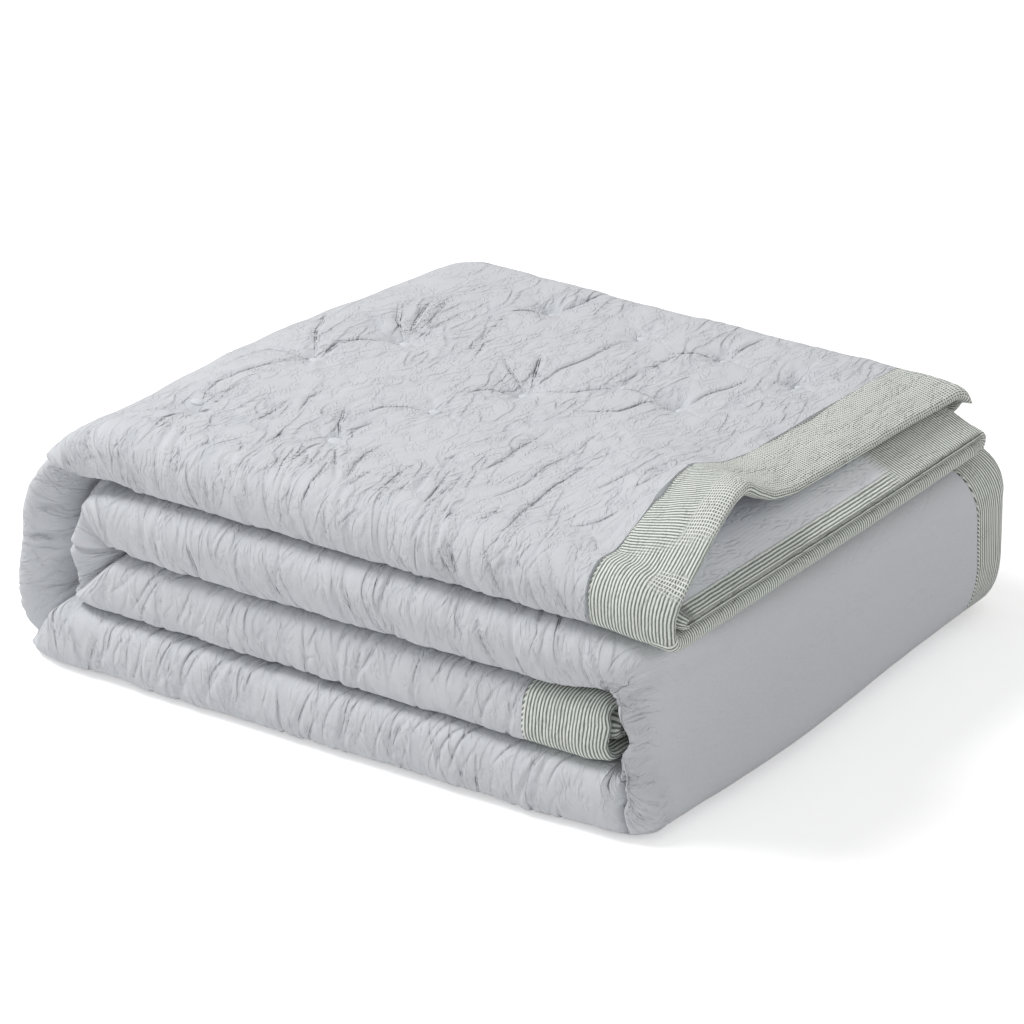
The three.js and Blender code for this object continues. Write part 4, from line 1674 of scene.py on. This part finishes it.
@dataclass(frozen=True)
class PinstripeFinish:
    """Woven pinstripe: thin off-white lines on grey green.

    The pitches and widths are millimetres of cloth.
    """

    name: str = "woven pinstripe"
    white: str = "#f6f8f2"
    dark: str = "#7b857d"
    plain: str = "#f0f2f6"
    pitch: float = 2.9
    fine_pitch: float = 2.3
    white_share: float = 0.54
    check_ratio: float = 1.4
    check_shares: tuple[float, float] = (0.42, 0.34)
    softness: float = 0.27
    stitch_pitch: float = 3.8
    stitch_width: float = 1.7
    wobble: float = 1.1
    wobble_steps: tuple[float, float] = (11.0, 14.0)
    unevenness: float = 0.9
    thread_scale: tuple[float, float, float] = (700, 350, 1)
    slub_scale: tuple[float, float, float] = (900, 900, 1)
    pucker: FineCreases = FineCreases(5, 13, 0.7, 8)

    def line(self, tree: Tree, distance: Socket, pitch: float, share: float) -> Socket:
        """Returns 1 on the light lines and 0 between them, with soft edges."""
        turned = add_node(tree, "Math", distance, 1000 / pitch * 2 * math.pi, operation="MULTIPLY")
        wave = add_node(tree, "Math", turned, operation="SINE")
        middle = math.cos(math.pi * share)
        low, high = middle - self.softness, middle + self.softness
        return add_node(tree, "MapRange", wave, From_Min=low, From_Max=high)

    def make(self) -> bpy.types.Material:
        """Returns the material. The stripes follow the cloth's own chart, edge by edge, with its
        check where they cross and a row of small stitches along the seam."""
        made, tree = empty_material(self.name)
        chart = add_node(tree, "UVMap", uv_map="chart")
        stripes = add_node(tree, "UVMap", uv_map="stripes")
        loose = add_node(tree, "Mapping", stripes, Scale=per_metre(*self.wobble_steps))
        sway = add_node(tree, "TexNoise", loose, out="Color", Scale=1.0, Detail=1.0)
        wobble = (self.wobble * MM, self.wobble * MM, 0)
        bent = add_node(tree, "VectorMath", sway, wobble, stripes, operation="MULTIPLY_ADD")
        across, along, _ = add_node(tree, "SeparateXYZ", bent).node.outputs
        weave = add_node(tree, "Attribute", out="Color", attribute_name="weave")
        turned, checked, plain = add_node(tree, "SeparateColor", weave).node.outputs
        one = self.line(tree, across, self.pitch, self.white_share)
        two = self.line(tree, along, self.pitch, self.white_share)
        straight = add_node(tree, "Mix", turned, data_type="FLOAT", in_2=one, in_3=two)
        fine_one = self.line(tree, across, self.fine_pitch, self.check_shares[0])
        fine_two = self.line(tree, along, self.check_ratio * self.fine_pitch, self.check_shares[1])
        both = add_node(tree, "Math", fine_one, fine_two, operation="MAXIMUM")
        crossing = add_node(tree, "Mix", checked, data_type="FLOAT", in_2=straight, in_3=both)
        first, second, _ = add_node(tree, "SeparateXYZ", chart).node.outputs
        around = add_node(tree, "Math", first, second, operation="ADD")
        stitch = self.line(tree, around, self.stitch_pitch, 0.5)
        edge = self.stitch_width / SEAM_SCALE
        at_seam = add_node(
            tree, "MapRange", weave.node.outputs["Alpha"],
            From_Min=edge * 0.7, From_Max=edge * 1.2, To_Min=1.0, To_Max=0.0,
        )
        sewn = add_node(tree, "Mix", at_seam, data_type="FLOAT", in_2=crossing, in_3=stitch)
        thread = add_node(tree, "Mapping", stripes, Scale=self.thread_scale)
        uneven = add_node(tree, "TexNoise", thread, Scale=1.0, Detail=2.0)
        centred = add_node(tree, "Math", uneven, 0.5, operation="SUBTRACT")
        mixed = blend(tree, (1.0, sewn), (self.unevenness, centred))
        white, dark = linear(self.white), linear(self.dark)
        woven = add_node(tree, "Mix", mixed, out=2, data_type="RGBA", in_6=dark, in_7=white)
        colour = add_node(
            tree, "Mix", plain, out=2, data_type="RGBA", in_6=woven, in_7=linear(self.plain)
        )
        fine = add_node(tree, "Mapping", stripes, Scale=self.slub_scale)
        slub = add_node(tree, "TexNoise", fine, Scale=1.0, Detail=2.0)
        height = blend(tree, (0.5, sewn), (1.0, slub))
        puckers = self.pucker.draw(tree, chart)
        drawn_in = add_node(tree, "Bump", Strength=0.8, Distance=0.0009, Height=puckers)
        bump = add_node(tree, "Bump", Strength=0.5, Distance=0.0005, Height=height, Normal=drawn_in)
        shader = add_node(
            tree, "BsdfPrincipled", Base_Color=colour, Roughness=0.9, Specular_IOR_Level=0.2,
            Sheen_Weight=0.1, Sheen_Roughness=0.6, Normal=bump,
        )
        add_node(tree, "OutputMaterial", shader)
        return made


@dataclass(frozen=True)
class ThreadFinish:
    """Tied cotton thread, as light as the cloth's light places."""

    name: str = "tied thread"
    colour: str = "#dde0e4"
    twist_scale: float = 900.0

    def make(self) -> bpy.types.Material:
        """Returns the material. Fine noise in its bump reads as twisted thread."""
        made, tree = empty_material(self.name)
        place_on = add_node(tree, "TexCoord", out="Object")
        twist = add_node(tree, "TexNoise", place_on, Scale=self.twist_scale, Detail=2.0)
        bump = add_node(tree, "Bump", Strength=0.5, Distance=0.0006, Height=twist)
        colour = linear(self.colour)
        shader = add_node(tree, "BsdfPrincipled", Base_Color=colour, Roughness=0.85, Normal=bump)
        add_node(tree, "OutputMaterial", shader)
        return made


# Sub-assemblies


def dress(piece: bpy.types.Object, material: bpy.types.Material, slot: str, *nodes: str) -> None:
    """Gives a piece its finish and ties it to the frame.

    Args:
        piece: The piece.
        material: Its finish.
        slot: Not used.
        nodes: The solids that it stands for.
    """
    piece.data.materials.append(material)
    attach(piece, "root")
    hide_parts(*nodes)


@dataclass
class Quilt:
    """The crinkled field of the duvet."""

    fine_step: float = 1.6
    fold_step: float = 1.4
    bend_step: float = 1.8
    wall_step: float = 2.5

    def top(self) -> Stations:
        """Returns the stations of the top layer behind its border."""
        run = ROLL.stretches[Stretch.TOP.value].length
        start = SIZES.end_border + SIZES.seam
        return ROLL.take(Stretch.TOP, steps(start, run, self.fine_step)).closed(True, False)

    def folds(self) -> dict[str, tuple[Stations, Sampling]]:
        """Returns the other stretches with their sampling, by the name of their piece."""
        low = join([
            ROLL.whole(Stretch.LEFT_WALL, self.bend_step),
            ROLL.whole(Stretch.LEFT_TURN, self.bend_step),
            ROLL.whole(Stretch.BOTTOM, self.fold_step),
        ])
        side = join([
            ROLL.whole(Stretch.RIGHT_TURN, self.wall_step),
            ROLL.whole(Stretch.RIGHT_WALL, self.wall_step),
            ROLL.whole(Stretch.HIGH_TURN, self.wall_step),
        ])
        run = ROLL.stretches[Stretch.THIRD.value].length
        inner = join([
            ROLL.whole(Stretch.SECOND, self.fold_step),
            ROLL.whole(Stretch.INNER_TURN, self.bend_step),
            ROLL.take(Stretch.THIRD, steps(0, run - SIZES.end_border - SIZES.seam, self.fold_step)),
        ]).closed(False, True)
        return {
            "quilt_low_fold": (low, Sampling(face=20, nose=44)),
            "quilt_right_side": (side, Sampling(face=90, nose=36)),
            "quilt_inner_folds": (inner, Sampling(face=20, nose=44)),
        }

    def build(self, cotton: bpy.types.Material) -> list[bpy.types.Object]:
        """Makes the top and the folds under it.

        Args:
            cotton: The finish.

        Returns:
            The pieces, the top and its soft corner first.
        """
        section = Section(Sampling(face=262, nose=40))
        corner = ROLL.whole(Stretch.SOFT_TURN, self.bend_step)
        made = [
            ClothPiece("quilt_top", self.top(), section, Cut.QUILT, 8).build(),
            ClothPiece("quilt_corner", corner, section, Cut.QUILT, 4).build(),
        ]
        for name, (stations, sampling) in self.folds().items():
            made.append(ClothPiece(name, stations, Section(sampling), Cut.QUILT, 4).build())
        for piece in made:
            dress(piece, cotton, "cotton", "quilt")
        return made


@dataclass(frozen=True)
class EndBorderPiece(ClothPiece):
    """A striped border across one end of the duvet, with all four of its sheets."""

    roll_reach: float = 20.0
    roll_blend: float = 3.0
    inner_facing: float = 12.0
    facing_blend: float = 1.5
    far_facing: float = 330.0
    far_blend: float = 10.0
    edge_band: float = 30.0
    edge_blend: float = 8.0
    turn_from: float = 62.0
    turn_lean: float = 0.45
    turn_blend: float = 22.0
    check_from: float = 150.0
    check_blend: float = 25.0
    patch_place: float = 28.0
    patch_half: float = 9.0

    def weave(self, st: Stations, knots: Knots, side: Side) -> Array:
        """Returns the turned, checked and plain shares of the stripes, and how near the seam is."""
        zero = 0 * knots.y
        to_lip = st.column("to_lip") + zero
        to_end = np.minimum(to_lip, st.column("to_end"))
        seam = np.clip((SIZES.end_border - to_end) / SEAM_SCALE, 0, 1)
        at_lip = to_lip < FAR / 2
        low = (knots.outer > 0) & (knots.n < -SIZES.level)
        on_roll = np.where(low & at_lip, smooth((self.roll_reach - to_end) / self.roll_blend), 0.0)
        if side is Side.LINING:
            far = smooth((np.abs(knots.cross) - self.far_facing) / self.far_blend)
            plain = smooth((to_end - self.inner_facing) / self.facing_blend) * (1 - on_roll) * (1 - far)
            return np.stack([np.maximum(on_roll, far), zero, np.where(at_lip, plain, zero), seam], -1)
        cross = knots.cross
        near_edge = smooth((self.edge_band - to_end) / self.edge_blend)
        upper = smooth((cross - self.turn_from + self.turn_lean * to_end) / self.turn_blend)
        beyond = smooth((cross - self.check_from) / self.check_blend)
        patch = near_edge * np.exp(-(((cross - self.patch_place) / self.patch_half) ** 4))
        top = at_lip & (knots.outer > 0) & (knots.n > 0)
        turned = np.where(top, upper * (1 - near_edge) * (1 - beyond), 0.0)
        checked = np.where(top, np.maximum(np.maximum(upper * near_edge, patch), beyond), 0.0)
        return np.stack([np.maximum(turned, on_roll), checked, zero, seam], -1)


@dataclass
class EndBorders:
    """The striped borders across the two ends."""

    rounding: tuple[float, ...] = (0, 0.15, 0.6, 1.3, 2.3, 3.4, 4.6, 6.5, 9)
    step: float = 2.2

    def outer(self) -> bpy.types.Object:
        """Returns the lip's border."""
        at = np.concatenate([self.rounding, steps(12, SIZES.end_border, self.step)])
        stations = ROLL.take(Stretch.TOP, at).closed(False, True)
        section = Section(Sampling(face=200, nose=36, inside=40, border=6))
        return EndBorderPiece("lip_border", stations, section, Cut.WHOLE).build()

    def inner(self) -> bpy.types.Object:
        """Returns the border inside the right fold."""
        run = ROLL.stretches[Stretch.THIRD.value].length
        at = run - np.concatenate([self.rounding, steps(12, SIZES.end_border, self.step)])[::-1]
        stations = ROLL.take(Stretch.THIRD, at).closed(True, False)
        section = Section(Sampling(face=40, nose=36, inside=12, border=6))
        return EndBorderPiece("inner_end_border", stations, section, Cut.WHOLE).build()

    def build(self, pinstripe: bpy.types.Material) -> list[bpy.types.Object]:
        """Makes both borders and gives them their finish."""
        made = [self.outer(), self.inner()]
        for piece, node in zip(made, ("end_border_outer", "end_border_inner")):
            dress(piece, pinstripe, "pinstripe", node)
        return made


@dataclass
class LongBorders:
    """The striped borders along the two long sides."""

    step: float = 4.5

    def stations(self) -> Stations:
        """Returns the stations between the two end seams."""
        run = ROLL.stretches[Stretch.THIRD.value].length
        end = SIZES.end_border + SIZES.seam
        parts = [ROLL.take(Stretch.TOP, steps(end, ROLL.stretches[0].length, self.step))]
        parts += [ROLL.whole(s, self.step) for s in list(Stretch)[1:-1]]
        parts.append(ROLL.take(Stretch.THIRD, steps(0, run - end, self.step)))
        return join(parts).closed()

    def build(self, pinstripe: bpy.types.Material) -> list[bpy.types.Object]:
        """Makes both borders and gives them their finish."""
        section = Section(Sampling(border=14))
        made = [
            ClothPiece("outer_side_border", self.stations(), section, Cut.OUTER).build(),
            ClothPiece("inner_side_border", self.stations(), section, Cut.INNER).build(),
        ]
        for piece, node in zip(made, ("long_border_outer", "long_border_inner")):
            dress(piece, pinstripe, "pinstripe", node)
        return made


@dataclass
class TuftSet:
    """The knots of thread that tie the quilt through."""

    long_radius: float = 6.6
    short_radius: float = 4.7
    height: float = 2.4
    seat: float = 1.8
    strand_depth: float = 0.4
    strand_scale: float = 700.0

    def build(self, thread: bpy.types.Material, cloth: bpy.types.Object) -> list[bpy.types.Object]:
        """Makes each knot and seats it in its dimple.

        Args:
            thread: The finish.
            cloth: The piece that the knots sit on.

        Returns:
            The knots.
        """
        made = []
        for i, tuft in enumerate(TUFTS):
            place = np.array([tuft.x, tuft.y, SIZES.top.high], float)
            spot = settle(place, np.array(SIZES.lip - tuft.x)) * MM
            hit = cloth.ray_cast(Vector((spot[0], spot[1], 0.5)), Vector((0, 0, -1)))
            floor = hit[1].z if hit[0] else spot[2]
            mesh = bmesh.new()
            bmesh.ops.create_icosphere(mesh, subdivisions=3, radius=1.0)
            scale = (self.long_radius, self.short_radius, self.height)
            bmesh.ops.scale(mesh, vec=tuple(v * tuft.knot * MM for v in scale), verts=mesh.verts)
            for vert in mesh.verts:
                dent = noise.noise(vert.co * self.strand_scale + Vector((i, 0, 0)))
                vert.co += vert.normal * self.strand_depth * MM * dent
            seat = (spot[0], spot[1], floor + self.seat * MM)
            bmesh.ops.translate(mesh, vec=seat, verts=mesh.verts)
            for one in mesh.faces:
                one.smooth = True
            piece = finish_mesh(mesh, f"knot_{i + 1:02d}")
            dress(piece, thread, "thread", f"tuft_{i + 1:02d}")
            made.append(piece)
        return made


@dataclass
class Studio:
    """Floor, soft light and the camera."""

    azimuth: float = 33.0
    elevation: float = 26.0
    place: tuple[float, float, float] = (2.59602, -4.00262, 2.42577)
    lens: float = 242.47
    floor_size: float = 14.0
    floor_lift: float = 0.43
    world: float = 0.55
    key: float = 57.0
    key_size: float = 1.3
    key_place: tuple[float, float, float] = (-1.7, -0.9, 3.0)
    floor_colour: str = "#f4f4f4"
    floor_gap: float = 0.0005
    sensor: float = 36.0

    def floor(self) -> None:
        """Lays the pale floor."""
        mesh = bmesh.new()
        bmesh.ops.create_grid(mesh, x_segments=2, y_segments=2, size=self.floor_size / 2)
        floor = finish_mesh(mesh, "floor")
        floor.location.z = -self.floor_gap
        made, tree = empty_material("pale floor")
        matt = add_node(tree, "BsdfDiffuse", Color=linear(self.floor_colour))
        seen = add_node(tree, "LightPath", out="Is Camera Ray")
        strength = add_node(tree, "Math", seen, self.floor_lift, operation="MULTIPLY")
        lift = add_node(tree, "Emission", Strength=strength)
        both = add_node(tree, "AddShader", matt, lift)
        add_node(tree, "OutputMaterial", both)
        floor.data.materials.append(made)
        floor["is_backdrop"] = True

    def light(self) -> None:
        """Hangs the soft lights."""
        world = bpy.data.worlds.new("studio")
        world.use_nodes = True
        background = world.node_tree.nodes["Background"]
        background.inputs["Color"].default_value = (1, 1, 1, 1)
        background.inputs["Strength"].default_value = self.world
        bpy.context.scene.world = world
        data = bpy.data.lights.new("key", "AREA")
        data.shape = "DISK"
        data.size = self.key_size
        data.energy = self.key
        lamp = bpy.data.objects.new("key", data)
        lamp.location = self.key_place
        lamp.rotation_euler = (-lamp.location).to_track_quat("-Z", "Y").to_euler()
        bpy.context.scene.collection.objects.link(lamp)

    def camera(self) -> None:
        """Puts the camera where the photo was taken."""
        data = bpy.data.cameras.new("camera")
        data.lens = self.lens
        data.sensor_width = self.sensor
        data.clip_end = 100
        camera = bpy.data.objects.new("camera", data)
        camera.location = self.place
        camera.rotation_euler = (math.radians(90 - self.elevation), 0, math.radians(self.azimuth))
        bpy.context.scene.collection.objects.link(camera)
        bpy.context.scene.camera = camera

    def build(self) -> None:
        """Sets up the floor, the lights and the camera."""
        self.floor()
        self.light()
        self.camera()
        bpy.context.scene.view_settings.view_transform = "Standard"


def main() -> None:
    """Builds the duvet piece by piece and its studio."""
    logging.basicConfig(level=logging.INFO, format="%(message)s")
    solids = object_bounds()
    cotton, pinstripe, thread = CottonFinish().make(), PinstripeFinish().make(), ThreadFinish().make()
    top, *_ = Quilt().build(cotton)
    EndBorders().build(pinstripe)
    LongBorders().build(pinstripe)
    TuftSet().build(thread, top)
    Studio().build()
    bpy.context.view_layer.update()
    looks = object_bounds()
    for name, box in (("solids", solids), ("looks", looks)):
        LOG.info("%s %s", name, [tuple(round(v, 4) for v in c) for c in box])


if __name__ == "__main__":
    main()
